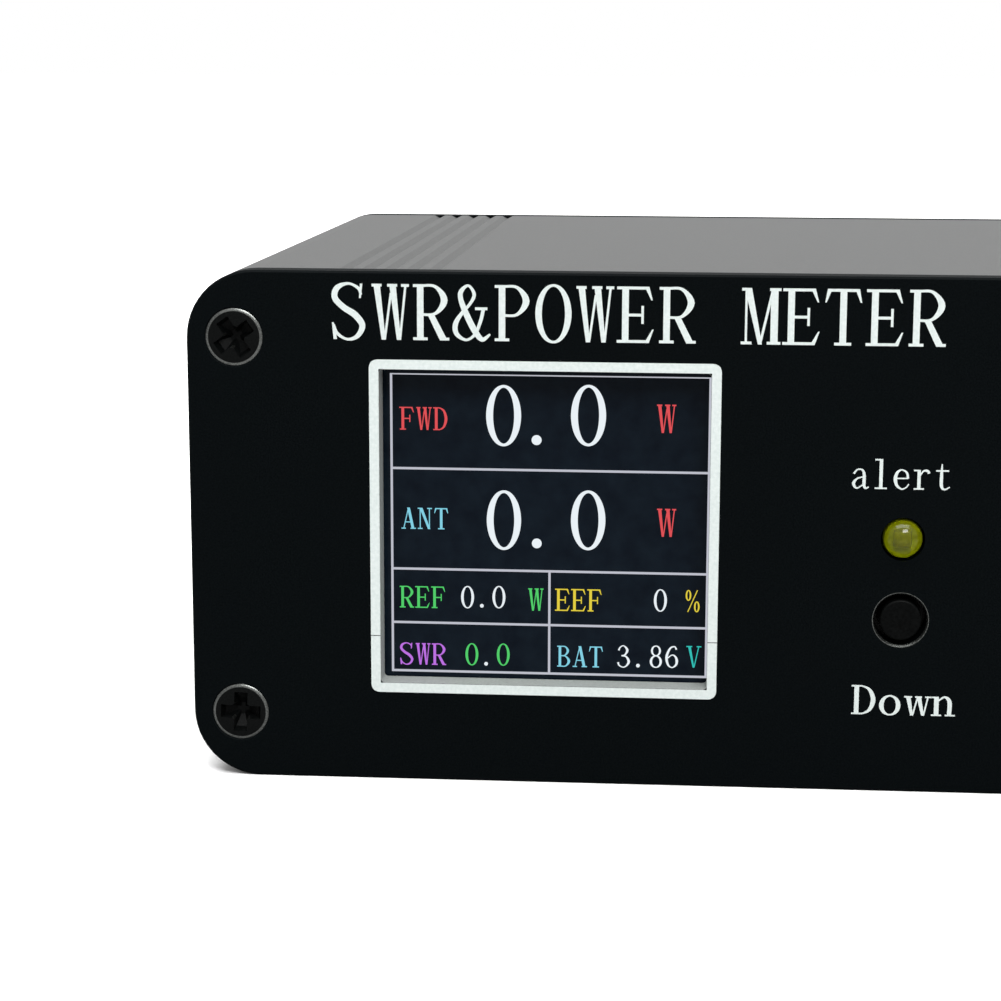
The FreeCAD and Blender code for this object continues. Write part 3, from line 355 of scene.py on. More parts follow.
def pen(points, closed=False):
    """Outlines along a smooth line through points (x, y, width of the pen)."""
    points = [Vector(point) for point in points]
    ends = points[-1:] + points + points[:2] if closed else [2 * points[0] - points[1]] + points
    ends = ends if closed else ends + [2 * points[-1] - points[-2]]
    rail = []
    for before, start, end, after in zip(ends, ends[1:], ends[2:], ends[3:]):
        rail += interpolate_bezier(start, start + (end - before) / 6, end - (after - start) / 6, end,
                                   7)[:-1]
    rail.append(rail[0] if closed else points[-1])
    rims = []
    for k, here in enumerate(rail):
        behind = rail[k - 1] if k else rail[-2] if closed else rail[0]
        ahead = rail[k + 1] if k + 1 < len(rail) else rail[1] if closed else rail[-1]
        way = (ahead - behind).xy.normalized()
        side = Vector((-way.y, way.x)) * here.z * weight / 2
        rims.append((here.xy + side, here.xy - side))
    return [[a, b, d, c] for (a, b), (c, d) in zip(rims, rims[1:])]


def bar(x0, y0, x1, y1):
    return [[(x0, y0), (x1, y0), (x1, y1), (x0, y1)]]


def slant(x0, y0, x1, y1, low, high=None):
    """A straight slanting stroke whose ends are level; low and high are its widths at the two ends."""
    high = (high or low) * weight
    low *= weight
    return [[(x0 - low / 2, y0), (x0 + low / 2, y0), (x1 + high / 2, y1), (x1 - high / 2, y1)]]


def upright(x, foot=True, head=True, tall=1.0, thick=stem, wide=0.26):
    """A vertical stem with its serifs."""
    made = bar(x - thick / 2, 0, x + thick / 2, tall)
    if foot:
        made += bar(x - wide / 2, 0, x + wide / 2, thin)
    if head:
        made += bar(x - wide / 2, tall - thin, x + thick / 2, tall)
    return made


def oval(x, y, across, up, thick=0.13):
    """A round closed stroke, thick at its sides."""
    ring = []
    for k in range(12):
        turn = math.pi / 6 * k
        wide = thin + (thick - thin) * abs(math.cos(turn)) ** 1.5
        ring.append((x + (across - thick / 2) * math.cos(turn), y + (up - thin / 2) * math.sin(turn),
                     wide))
    return pen(ring, closed=True)


def arm_ticks(levels):
    """The end strokes of a capital's level arms: (x, arm's height, tick's end x, tick's end height)."""
    made = []
    for x, y, far_x, far_y in levels:
        made += slant(x, y, far_x, far_y, 0.09, 0.03) if far_y > y else slant(far_x, far_y, x, y, 0.03,
                                                                              0.09)
    return made


e_middle = bar(0.14, 0.47, 0.46, 0.52) + slant(0.455, 0.34, 0.455, 0.66, 0.05)
e_top = bar(0.0, 0.95, 0.56, 1.0) + arm_ticks([(0.53, 1.0, 0.62, 0.76)])
e_foot = bar(0.0, 0.0, 0.56, 0.05) + arm_ticks([(0.53, 0.0, 0.64, 0.24)])
p_bowl = pen([(0.14, 0.975, thin), (0.42, 0.96, 0.06), (0.58, 0.72, 0.135), (0.42, 0.48, 0.06),
              (0.14, 0.46, thin)])
LETTERS = {
    "A": slant(0.10, 0, 0.33, 1, 0.05) + slant(0.54, 0, 0.33, 1, 0.14) + bar(0.17, 0.3, 0.46, 0.345)
    + bar(0, 0, 0.2, thin) + bar(0.42, 0, 0.67, thin),
    "B": upright(0.15)
    + pen([(0.14, 0.975, thin), (0.40, 0.96, 0.06), (0.52, 0.76, 0.12), (0.38, 0.55, 0.06),
           (0.14, 0.53, thin)])
    + pen([(0.14, 0.53, thin), (0.42, 0.50, 0.06), (0.57, 0.27, 0.135), (0.42, 0.04, 0.06),
           (0.14, 0.025, thin)]),
    "D": upright(0.15)
    + pen([(0.14, 0.975, thin), (0.32, 0.965, 0.055), (0.49, 0.83, 0.1), (0.575, 0.5, 0.135),
           (0.49, 0.17, 0.1), (0.32, 0.035, 0.055), (0.14, 0.025, thin)]),
    "E": upright(0.15) + e_top + e_middle + e_foot,
    "F": upright(0.15) + e_top + e_middle,
    "M": bar(0.07, 0, 0.11, 1) + slant(0.34, 0, 0.12, 1, 0.08, 0.14) + slant(0.34, 0, 0.56, 1, 0.05)
    + bar(0.52, 0, 0.65, 1) + bar(0.01, 0.95, 0.18, 1) + bar(0.5, 0.95, 0.7, 1) + bar(0, 0, 0.19, thin)
    + bar(0.46, 0, 0.7, thin),
    "N": bar(0.09, 0, 0.135, 1) + slant(0.53, 0, 0.15, 1, 0.12, 0.15) + bar(0.52, 0, 0.565, 1)
    + bar(0, 0, 0.22, thin) + bar(0.44, 0.95, 0.66, 1) + bar(0, 0.95, 0.2, 1),
    "O": oval(0.335, 0.5, 0.33, 0.53),
    "P": upright(0.15) + p_bowl,
    "R": upright(0.15) + p_bowl + slant(0.56, 0.02, 0.33, 0.48, 0.15, 0.13) + bar(0.50, 0, 0.67, thin),
    "S": pen([(0.55, 0.80, 0.05), (0.50, 0.92, 0.06), (0.32, 1.0, thin), (0.12, 0.92, 0.11),
              (0.08, 0.74, 0.12), (0.24, 0.57, 0.12), (0.44, 0.44, 0.13), (0.57, 0.25, 0.12),
              (0.48, 0.06, 0.09), (0.30, 0.0, thin), (0.12, 0.10, 0.06), (0.05, 0.26, 0.05)])
    + slant(0.53, 0.74, 0.555, 1.0, 0.04, 0.05) + slant(0.08, 0.0, 0.04, 0.3, 0.07, 0.04),
    "T": bar(0.06, 0.95, 0.6, 1) + upright(0.33, head=False, wide=0.3)
    + arm_ticks([(0.09, 1.0, 0.02, 0.76), (0.57, 1.0, 0.64, 0.76)]),
    "U": bar(0.08, 0.3, 0.21, 1) + pen([(0.145, 0.32, 0.13), (0.19, 0.08, 0.1), (0.35, 0.0, 0.05),
                                       (0.51, 0.12, 0.05), (0.55, 0.32, 0.045)])
    + bar(0.525, 0.3, 0.57, 1) + bar(0, 0.95, 0.3, 1) + bar(0.44, 0.95, 0.66, 1),
    "V": slant(0.33, 0, 0.13, 1, 0.08, 0.14) + slant(0.35, 0, 0.56, 1, 0.05) + bar(0, 0.95, 0.26, 1)
    + bar(0.46, 0.95, 0.67, 1),
    "W": slant(0.22, 0, 0.10, 1, 0.08, 0.13) + slant(0.24, 0, 0.355, 0.84, 0.045)
    + slant(0.495, 0, 0.385, 1, 0.08, 0.13) + slant(0.515, 0, 0.62, 1, 0.045)
    + bar(0.01, 0.95, 0.19, 1) + bar(0.29, 0.95, 0.47, 1) + bar(0.54, 0.95, 0.68, 1),
    "X": slant(0.55, 0, 0.13, 1, 0.14) + slant(0.11, 0, 0.55, 1, 0.05) + bar(0, 0, 0.22, thin)
    + bar(0.42, 0, 0.67, thin) + bar(0, 0.95, 0.25, 1) + bar(0.45, 0.95, 0.66, 1),
    "&": pen([(0.55, 0.57, 0.07), (0.50, 0.36, 0.07), (0.40, 0.12, 0.06), (0.24, 0.015, 0.05),
              (0.07, 0.12, 0.09), (0.05, 0.30, 0.10), (0.17, 0.50, 0.07), (0.31, 0.66, 0.06),
              (0.385, 0.83, 0.07), (0.28, 0.985, thin), (0.15, 0.88, 0.09), (0.15, 0.72, 0.10),
              (0.26, 0.44, 0.12), (0.40, 0.17, 0.12), (0.53, 0.025, 0.09), (0.67, 0.12, 0.04)])
    + bar(0.40, 0.55, 0.62, 0.6),
    "%": oval(0.14, 0.76, 0.13, 0.25, 0.08) + oval(0.52, 0.24, 0.13, 0.25, 0.08)
    + slant(0.12, 0, 0.54, 1, 0.05),
    ".": [[(0.09 + 0.085 * math.cos(math.pi / 8 * k), 0.085 + 0.085 * math.sin(math.pi / 8 * k))
           for k in range(16)]],
    "0": oval(0.32, 0.5, 0.30, 0.52),
    "3": pen([(0.09, 0.78, 0.09), (0.17, 0.93, 0.06), (0.32, 0.99, thin), (0.48, 0.80, 0.12),
              (0.38, 0.58, 0.07), (0.22, 0.53, thin)])
    + pen([(0.22, 0.53, thin), (0.43, 0.49, 0.08), (0.55, 0.26, 0.13), (0.43, 0.05, 0.07),
           (0.27, 0.0, thin), (0.11, 0.09, 0.07), (0.07, 0.22, 0.1)]),
    "5": pen([(0.12, 0.50, 0.04), (0.30, 0.62, 0.06), (0.52, 0.48, 0.12), (0.55, 0.26, 0.13),
              (0.42, 0.05, 0.07), (0.25, 0.0, thin), (0.10, 0.09, 0.07), (0.07, 0.22, 0.1)])
    + slant(0.12, 0.48, 0.15, 1, 0.045) + bar(0.13, 0.92, 0.55, 1),
    "6": pen([(0.53, 0.84, 0.09), (0.44, 0.97, 0.06), (0.24, 0.88, 0.09), (0.09, 0.5, 0.13),
              (0.15, 0.14, 0.1), (0.33, 0.0, thin), (0.51, 0.12, 0.1), (0.55, 0.32, 0.13),
              (0.48, 0.51, 0.09), (0.33, 0.58, thin), (0.14, 0.44, 0.06)]),
    "8": oval(0.32, 0.77, 0.23, 0.25, 0.1) + oval(0.32, 0.27, 0.28, 0.29, 0.12),
    "a": pen([(0.08, 0.50, 0.08), (0.20, 0.64, 0.05), (0.36, 0.62, 0.07), (0.42, 0.46, 0.11),
              (0.42, 0.12, 0.11), (0.48, 0.02, 0.07), (0.58, 0.06, 0.04)])
    + pen([(0.40, 0.40, 0.04), (0.20, 0.34, 0.06), (0.08, 0.18, 0.11), (0.18, 0.02, 0.06),
           (0.40, 0.14, 0.04)]),
    "c": pen([(0.50, 0.50, 0.09), (0.42, 0.63, 0.06), (0.30, 0.65, thin), (0.16, 0.56, 0.1),
              (0.10, 0.34, 0.13), (0.16, 0.12, 0.1), (0.32, 0.01, 0.055), (0.46, 0.07, 0.05),
              (0.54, 0.2, 0.04)]),
    "e": pen([(0.10, 0.36, 0.05), (0.52, 0.37, 0.045)])
    + pen([(0.51, 0.36, 0.09), (0.47, 0.55, 0.08), (0.31, 0.65, thin), (0.16, 0.56, 0.1),
           (0.10, 0.34, 0.13), (0.16, 0.12, 0.1), (0.32, 0.01, 0.055), (0.46, 0.07, 0.05),
           (0.54, 0.18, 0.04)]),
    "g": oval(0.27, 0.44, 0.2, 0.22, 0.11) + pen([(0.42, 0.58, 0.05), (0.56, 0.63, 0.06)])
    + pen([(0.17, 0.27, 0.05), (0.11, 0.16, 0.07), (0.22, 0.05, 0.07)])
    + oval(0.29, -0.11, 0.24, 0.17, 0.09),
    "h": upright(0.16, tall=1.0)
    + pen([(0.17, 0.5, 0.04), (0.34, 0.65, 0.07), (0.48, 0.5, 0.12), (0.48, 0.02, 0.12)])
    + bar(0.36, 0, 0.62, thin),
    "l": upright(0.30, thick=0.11, wide=0.4),
    "n": upright(0.14, tall=0.66)
    + pen([(0.17, 0.5, 0.04), (0.34, 0.65, 0.07), (0.47, 0.5, 0.12), (0.47, 0.02, 0.12)])
    + bar(0.36, 0, 0.62, thin),
    "o": oval(0.32, 0.33, 0.28, 0.35),
    "p": bar(0.10, -0.3, 0.22, 0.66) + bar(0.0, 0.61, 0.22, 0.66) + bar(0.02, -0.3, 0.32, -0.25)
    + pen([(0.17, 0.5, 0.04), (0.36, 0.66, 0.06), (0.55, 0.34, 0.13), (0.36, 0.02, 0.06),
           (0.17, 0.14, 0.04)]),
    "r": upright(0.20, tall=0.66, wide=0.34, thick=0.11)
    + pen([(0.22, 0.44, 0.04), (0.34, 0.62, 0.06), (0.48, 0.62, 0.09), (0.52, 0.54, 0.1)]),
    "t": pen([(0.27, 0.86, 0.04), (0.26, 0.5, 0.11), (0.27, 0.12, 0.11), (0.38, 0.02, 0.06),
              (0.54, 0.10, 0.04)])
    + bar(0.08, 0.61, 0.5, 0.66),
    "w": slant(0.20, 0, 0.10, 0.66, 0.08, 0.13) + slant(0.22, 0, 0.34, 0.62, 0.045)
    + slant(0.48, 0, 0.37, 0.66, 0.08, 0.13) + slant(0.50, 0, 0.61, 0.66, 0.045)
    + bar(0, 0.61, 0.2, 0.66) + bar(0.28, 0.61, 0.45, 0.66) + bar(0.53, 0.61, 0.7, 0.66),
}


def merged(strokes):
    """One flat shape without overlaps from a letter's overlapping strokes: its points and its faces."""
    spots = [Vector(spot) for stroke in strokes for spot in stroke]
    rings = []
    for stroke in strokes:
        start = sum(len(ring) for ring in rings)
        rings.append(list(range(start, start + len(stroke))))
    points, _, faces, _, _, sources = delaunay_2d_cdt(spots, [], rings, 1, same_spot, True)
    return points, [face for face, source in zip(faces, sources) if source]


def write(bm, text, left, base, tall, pitch, wide=1.0, y=panel_face, facing=1):
    """Draws flat letters on a plane that faces the front, or the back when facing is -1."""
    for k, letter in enumerate(text):
        if letter == " ":
            continue
        points, faces = merged(LETTERS[letter])
        verts = []
        for spot in points:
            x = left + facing * (k * pitch + spot.x * tall * wide)
            verts.append(bm.verts.new((x, y, base + spot.y * tall)))
        for face in faces:
            bm.faces.new([verts[corner] for corner in face])
    bmesh.ops.delete(bm, geom=[vert for vert in bm.verts if not vert.link_faces], context="VERTS")


def print_legends():
    """The title, the lamps' names over the lamps and the keys' names under the keys."""
    lamp_line = 22.68 * mm
    key_line = 5.85 * mm
    small = 2.2 * mm
    bm = bmesh.new()
    write(bm, "SWR&POWER METER", -33.35 * mm, 33.05 * mm, 4.05 * mm, 2.965 * mm)
    for name, left in (("alert", 4.45), ("charge", 16.0)):
        write(bm, name, left * mm, lamp_line, small, 1.47 * mm)
    for name, left in (("Down", 4.85), ("Up", 18.4), ("Power", 26.3)):
        write(bm, name, left * mm, key_line, small, 1.95 * mm, wide=1.3)
    raise_ink(bm)
    add_piece("front_legends", bm, [print_white], "case")


print_legends()


# ---- Display ----
# A square colour display behind the window: cover glass over the lit picture, a moulded white
# backlight, foam behind it and a flexible circuit folded back to the control board.


def glow(name, colour, strength=1.0):
    """A lit area of the display, a little uneven like its backlight."""
    made = finish(name, [0.02 * part for part in colour], [0.03 * part for part in colour], (0.15, 0.2),
                  0.25 * mm, Specular_IOR_Level=0.06)
    nodes = made.node_tree.nodes
    shader = nodes["Principled BSDF"]
    shader.inputs["Emission Color"].default_value = (*colour, 1)
    shader.inputs["Emission Strength"].default_value = strength
    return made


glass_finish = finish("display_glass", (0.002, 0.0045, 0.009), (0.0045, 0.009, 0.015), (0.08, 0.14),
                      1.5 * mm, Specular_IOR_Level=0.08)
dress_nodes(glass_finish, "display_glass")
picture_face = glass_low.y
rule_width = 0.17 * mm


def rule(bm, x0, z0, x1, z1):
    """A straight level or upright line of the picture."""
    corners = [(x0, z0), (x1, z0), (x1, z1), (x0, z1)]
    bm.faces.new([bm.verts.new((x, picture_face, z)) for x, z in corners])


def picture_rules():
    """A frame round the picture, level lines between the readings and one upright line."""
    bm = bmesh.new()
    left, right, bottom, top = (value * mm for value in (-29.26, -5.8, 7.85, 30.3))
    rows = [value * mm for value in (11.57, 15.67, 23.27)]
    column = -17.5 * mm
    half = rule_width / 2
    for z in (bottom, *rows):
        rule(bm, left - half, z - half, right + half, z + half)
    rule(bm, left - half, top - half / 2, right + half, top + half / 2)
    for x in (left, right):
        rule(bm, x - half, bottom, x + half, top)
    rule(bm, column - half, bottom, column + half, rows[1])
    raise_ink(bm)
    add_piece("picture_rules", bm, [glow("picture_grey", (0.5, 0.51, 0.58))], "case")


# colour, then for each word: text, left, base line, height and pitch in millimetres
READINGS = {
    "white": ((0.8, 0.86, 0.9), [
        ("0", -22.35, 25.1, 4.4, 1), ("0", -16.1, 25.2, 4.4, 1), (".", -18.9, 25.15, 4.4, 1),
        ("0", -22.3, 17.3, 4.35, 1), ("0", -16.05, 17.4, 4.35, 1), (".", -18.85, 17.4, 4.35, 1),
        ("0", -24.15, 12.75, 1.65, 1), (".", -22.7, 12.8, 1.65, 1), ("0", -21.8, 12.8, 1.65, 1),
        ("0", -9.77, 12.8, 1.65, 1), (".", -22.38, 8.35, 1.65, 1),
        ("3", -12.45, 8.47, 1.65, 1), (".", -11.0, 8.47, 1.65, 1), ("8", -10.05, 8.5, 1.65, 1),
        ("6", -8.87, 8.52, 1.65, 1)]),
    "green": ((0.08, 0.6, 0.14), [
        ("REF", -28.75, 12.69, 1.65, 1.2), ("W", -19.1, 12.65, 1.7, 1),
        ("0", -23.83, 8.37, 1.65, 1), ("0", -21.47, 8.4, 1.65, 1)]),
    "red": ((0.72, 0.08, 0.09), [
        ("FWD", -28.66, 26.15, 1.7, 1.24), ("W", -9.7, 26.2, 2.1, 1), ("W", -9.6, 18.45, 2.1, 1)]),
    "cyan": ((0.22, 0.62, 0.76), [("ANT", -28.55, 18.7, 1.6, 1.22), ("BAT", -16.93, 8.4, 1.6, 1.2)]),
    "yellow": ((0.75, 0.6, 0.05), [("EEF", -17.08, 12.68, 1.68, 1.2), ("%", -7.4, 12.8, 1.65, 1)]),
    "purple": ((0.5, 0.16, 0.75), [("SWR", -28.75, 8.32, 1.65, 1.2)]),
    "teal": ((0.03, 0.5, 0.45), [("V", -7.26, 8.55, 1.65, 1)]),
}


def picture_readings():
    for name, (colour, words) in READINGS.items():
        bm = bmesh.new()
        for text, left, base, tall, pitch in words:
            write(bm, text, left * mm, base * mm, tall * mm, pitch * mm, y=picture_face)
        raise_ink(bm)
        add_piece("picture_" + name, bm, [glow("picture_" + name, colour)], "case")


picture_rules()
picture_readings()
backlight_finish = finish("moulded_white", (0.7, 0.7, 0.68), (0.8, 0.8, 0.78), (0.4, 0.5), 0.5 * mm,
                          relief=0.003 * mm)
dress_nodes(backlight_finish, "display_backlight")
foam_finish = finish("foam", (0.02, 0.02, 0.022), (0.06, 0.06, 0.065), (0.85, 1.0), 0.3 * mm,
                     relief=0.08 * mm)
dress_nodes(foam_finish, "display_pad", "battery_tape")
ribbon_finish = finish("flexible_circuit", (0.30, 0.13, 0.02), (0.38, 0.18, 0.03), (0.25, 0.35),
                       0.6 * mm, (0.3, 5, 5),
                       0.004 * mm)
dress_nodes(ribbon_finish, "display_ribbon")


# ---- Keys and power cap ----
# Turned black plastic: two thin stems in bevelled holes and one larger push cap.
# The bevel round each key's hole is skinned in brighter metal, a painted sheen standing in for the
# black chamfer's highlight arcs.

key_finish = finish("key_plastic", (0.0008, 0.001, 0.001), (0.003, 0.0034, 0.0034), (0.35, 0.5),
                    0.2 * mm, relief=0.004 * mm, Specular_IOR_Level=0.05)
dress_nodes(key_finish, "down_key", "up_key", "power_cap")
switch_finish = finish("switch_plastic", (0.02, 0.02, 0.02), (0.035, 0.035, 0.035), (0.45, 0.6),
                       0.3 * mm, relief=0.005 * mm)
dress_nodes(switch_finish, "down_switch", "up_switch", "power_switch", "board_header")
plunger_finish = finish("plunger_plastic", (0.6, 0.6, 0.58), (0.7, 0.7, 0.68), (0.35, 0.45), 0.4 * mm)
dress_nodes(plunger_finish, "power_plunger")
# Brighter metal skinned on the key holes' bevels as a painted sheen.
bevel_sheen_finish = finish("bevel_painted_sheen", (0.10, 0.105, 0.1), (0.22, 0.23, 0.22), (0.22, 0.34), 0.15 * mm,
                    relief=0.003 * mm, metallic=1.0)


def turned(points, steps=64, closed=False):
    """A shape turned round Y from its half outline in millimetres: (radius, distance along +Y)."""
    bm = bmesh.new()
    verts = [bm.verts.new((radius * mm, along * mm, 0)) for radius, along in points]
    ahead = verts[1:] + verts[:1] if closed else verts[1:]
    edges = [bm.edges.new(pair) for pair in zip(verts, ahead)]
    bmesh.ops.spin(bm, geom=verts + edges, cent=(0, 0, 0), axis=(0, 1, 0), angle=2 * math.pi,
                   steps=steps, use_merge=True)
    bmesh.ops.remove_doubles(bm, verts=bm.verts, dist=weld)
    bmesh.ops.recalc_face_normals(bm, faces=bm.faces)
    return bm


def middle_of(node):
    low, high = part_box(node)
    return (Vector(low) + Vector(high)) / 2


def hole_rims():
    """A thin ring of painted sheen on the bevel round each key's hole; sizes in millimetres."""
    hole = 1.9
    bevel = 0.15
    skin = 0.012
    for name in ("down_key", "up_key"):
        bm = turned([(hole + bevel + skin, -skin / 3), (hole + bevel - 3 * skin, -skin / 3),
                     (hole - skin, bevel - skin), (hole - skin, bevel + 3 * skin)], closed=True)
        spot = middle_of(name)
        bmesh.ops.translate(bm, verts=bm.verts, vec=(spot.x, panel_face, spot.z))
        add_piece(name + "_hole_rim", bm, [bevel_sheen_finish], "case")


hole_rims()


# ---- Indicator lamps ----
# Three millimetre lamps of tinted clear resin, pushed into their holes from behind.
# Inside each, a shallow bright cup holds the dark square chip; two tinned leads run back to the board.

lens_finish = finish("lamp_resin", (0.5, 0.53, 0.004), (0.64, 0.68, 0.01), (0.04, 0.09), 0.5 * mm,
                     Transmission_Weight=0.9, IOR=1.4)
cup_finish = finish("lamp_cup", (0.34, 0.37, 0.02), (0.5, 0.54, 0.04), (0.3, 0.4), 0.3 * mm)
chip_finish = finish("lamp_chip", (0.09, 0.085, 0.002), (0.15, 0.145, 0.004), (0.3, 0.5), 0.2 * mm)


def block(across, deep, tall):
    """A box round the origin."""
    bm = bmesh.new()
    bmesh.ops.create_cube(bm, size=1)
    bmesh.ops.scale(bm, verts=bm.verts, vec=(across, deep, tall))
    return bm


def lamps():
    for name in ("alert_lamp", "charge_lamp"):
        low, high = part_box(name)
        spot = Vector((middle_of(name).x, low.y, middle_of(name).z))
        deep = (high.y - low.y) / mm
        collar = deep - 1
        lens = turned([(0, 0), (0.35, 0.04), (0.7, 0.16), (1.02, 0.37), (1.27, 0.66), (1.43, 1.05),
                       (1.5, 1.5), (1.5, collar), (1.9, collar), (1.9, deep), (0, deep)], 48)
        bmesh.ops.translate(lens, verts=lens.verts, vec=spot)
        made = add_piece(name + "_lens", lens, [lens_finish], "case", 40)
        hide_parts(name)
        cup = turned([(0, 1.5), (0.5, 1.5), (1.15, 1.05), (1.25, 1.05), (1.25, 2.6), (0, 2.6)], 32)
        bmesh.ops.translate(cup, verts=cup.verts, vec=spot)
        add_piece(name + "_cup", cup, [cup_finish], "case")
        chip = block(1.0 * mm, 0.7 * mm, 1.0 * mm)
        round_off(chip, chip.edges[:], 0.06 * mm, 2)
        bmesh.ops.translate(chip, verts=chip.verts, vec=spot + Vector((0, 1.1 * mm, 0)))
        add_piece(name + "_chip", chip, [chip_finish], "case")


lamps()
wire_finish = finish("tinned_wire", (0.55, 0.55, 0.54), (0.7, 0.7, 0.69), (0.25, 0.35), 0.2 * mm,
                     metallic=1.0)
dress_nodes(wire_finish, "lamp_leads")


# ---- Panel screws ----
# Eight countersunk machine screws with cross recesses, blackened steel, one at each panel corner.
# Their heads are slightly domed; a brighter metal round each head's rim and on the recess's inner
# corners is a painted highlight.

screw_finish = finish("black_oxide", (0.0012, 0.0015, 0.0015), (0.004, 0.0046, 0.0046), (0.32, 0.45),
                      0.12 * mm, relief=0.005 * mm, Specular_IOR_Level=0.08)
# Brighter metal laid on the screw heads' rims and recess corners as a painted highlight.
screw_highlight_finish = finish("screw_rim_painted_highlight", (0.10, 0.105, 0.1), (0.26, 0.27, 0.26), (0.25, 0.4), 0.1 * mm,
                       relief=0.003 * mm, metallic=1.0)


def carve(bm, tool_bm):
    """The first shape with the second one cut out of it."""
    blank = add_object("blank", bm)
    tool = add_object("tool", tool_bm)
    cutter = blank.modifiers.new("cut", "BOOLEAN")
    cutter.object = tool
    cutter.solver = "EXACT"
    cut = bmesh.new()
    cut.from_object(blank, bpy.context.evaluated_depsgraph_get())
    for scrap in (blank, tool):
        bpy.data.meshes.remove(scrap.data)
    return cut


def driver_tip(length, width, deep, start, corner):
    """A cross-shaped driver tip that tapers along +Y."""
    half = width / 2
    far = length / 2
    bm = bmesh.new()
    outline = []
    for quarter in range(4):
        turn = Matrix.Rotation(quarter * math.pi / 2, 3, "Y")
        outline += [turn @ Vector(spot)
                    for spot in ((-half, start, far), (half, start, far), (half, start, half))]
    bm.faces.new([bm.verts.new(spot) for spot in outline])
    inner = [vert for vert in bm.verts if abs(vert.co.x) < half * 1.1 and abs(vert.co.z) < half * 1.1]
    round_off(bm, inner, corner, 3, "VERTICES")
    cap = bm.faces[:]
    reach = 1
    for ahead, share in ((0, 1), (deep * 0.55, 0.84), (deep, 0.3)):
        grown = bmesh.ops.extrude_face_region(bm, geom=cap, use_keep_orig=True)
        if ahead:
            bmesh.ops.delete(bm, geom=cap, context="FACES_ONLY")
        cap = [item for item in grown["geom"] if isinstance(item, bmesh.types.BMFace)]
        moved = [item for item in grown["geom"] if isinstance(item, bmesh.types.BMVert)]
        bmesh.ops.scale(bm, verts=moved, vec=(share / reach, 1, share / reach))
        bmesh.ops.translate(bm, verts=moved, vec=(0, ahead - moved[0].co.y, 0))
        reach = share
    bmesh.ops.recalc_face_normals(bm, faces=bm.faces)
    return bm


def copies(bm, places):
    """A copy of the shape at each of the places, in one mesh."""
    shape = bpy.data.meshes.new("shape")
    bm.to_mesh(shape)
    bm.free()
    made = bmesh.new()
    for place in places:
        before = len(made.verts)
        made.from_mesh(shape)
        made.verts.ensure_lookup_table()
        bmesh.ops.transform(made, matrix=place, verts=made.verts[before:])
    bpy.data.meshes.remove(shape)
    return made


def panel_screw():
    bm = turned([(0, -0.10), (0.9, -0.09), (1.5, -0.06), (1.9, -0.03), (2.02, 0.0), (2.13, 0.06),
                 (2.19, 0.13), (1.3, 0.98), (1.25, 1.05), (1.25, 7.7), (1.0, 8.0), (0, 8.0)])
    bm = carve(bm, driver_tip(3.0 * mm, 1.0 * mm, 1.1 * mm, -0.3 * mm, 0.2 * mm))
    # The rim bevel and the recess's inner corners take the second, brighter metal: a painted highlight.
    for face in bm.faces:
        spot = face.calc_center_median()
        out = math.hypot(spot.x, spot.z)
        rim = out > 1.93 * mm and spot.y < 0.11 * mm
        inner_corner = 0.4 * mm < out < 0.8 * mm and spot.y < 0.5 * mm and abs(face.normal.y) < 0.6
        if rim or inner_corner:
            face.material_index = 1
    return bm


rear_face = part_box("rear_panel")[1].y
screw_side = 40.5 * mm
screw_heights = (4.9 * mm, 33.1 * mm)
screw_sink = 0.03 * mm


def panel_screws():
    """Each screw is left at a turn of its own, in degrees, as driving it home leaves it."""
    spots = [(side * screw_side, z) for z in screw_heights for side in (-1, 1)]
    turns = {"front": (2, 28, 55, 71), "rear": (40, 5, 72, 20)}
    for end, face, about in (("front", panel_face, 0), ("rear", rear_face, math.pi)):
        places = [Matrix.Translation((x, face, z)) @ Matrix.Rotation(math.radians(turn), 4, "Y")
                  @ Matrix.Rotation(about, 4, "Z") @ Matrix.Translation((0, screw_sink, 0))
                  for (x, z), turn in zip(spots, turns[end])]
        made = add_piece(end + "_screws", copies(panel_screw(), places), [screw_finish, screw_highlight_finish],
                         "case")
        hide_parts(end + "_panel_screws")


panel_screws()


# ---- Radio sockets ----
# Turned and plated brass barrels on square flanges, threaded for a screw-on plug, with a notched tip.
# A white insulator holds the gold contact; four screws and nuts hold each flange to the rear panel.

plate_finish = finish("bright_nickel", (0.46, 0.45, 0.42), (0.62, 0.60, 0.56), (0.2, 0.36), 0.12 * mm,
                      (1, 0.5, 1),
                      0.003 * mm, metallic=1.0)
ptfe_finish = finish("ptfe", (0.70, 0.69, 0.66), (0.82, 0.81, 0.78), (0.35, 0.5), 0.4 * mm, (1, 4, 1),
                     0.004 * mm, Subsurface_Weight=0.1)
gold_finish = finish("gold_plate", (0.75, 0.5, 0.18), (0.9, 0.62, 0.25), (0.18, 0.3), 0.15 * mm,
                     metallic=1.0)
steel_finish = finish("zinc_steel", (0.42, 0.43, 0.44), (0.6, 0.61, 0.62), (0.25, 0.42), 0.15 * mm,
                      relief=0.004 * mm, metallic=1.0)


barrel_length = 12.7
flange_side = 25.4 * mm
flange_thick = 1.6 * mm
flange_screw = 9.13 * mm


def barrel():
    """The tube, its boss through the panel and its notched tip, along +Y from the panel's face."""
    bm = turned([(5.2, -4), (7.5, -4), (7.7, -3.8), (7.7, 1.5), (7.4, 1.75), (7.4, 12.35),
                 (7.1, barrel_length), (6.55, barrel_length), (6.3, 12.45), (6.3, 10.2), (5.2, 10.2)],
                96, closed=True)
    for turn in (0, math.pi / 2):
        notch = block(1.6 * mm, 2.4 * mm, 20 * mm)
        bmesh.ops.rotate(notch, verts=notch.verts, matrix=Matrix.Rotation(turn, 3, "Y"))
        bmesh.ops.translate(notch, verts=notch.verts, vec=(0, barrel_length * mm, 0))
        bm = carve(bm, notch)
    return bm


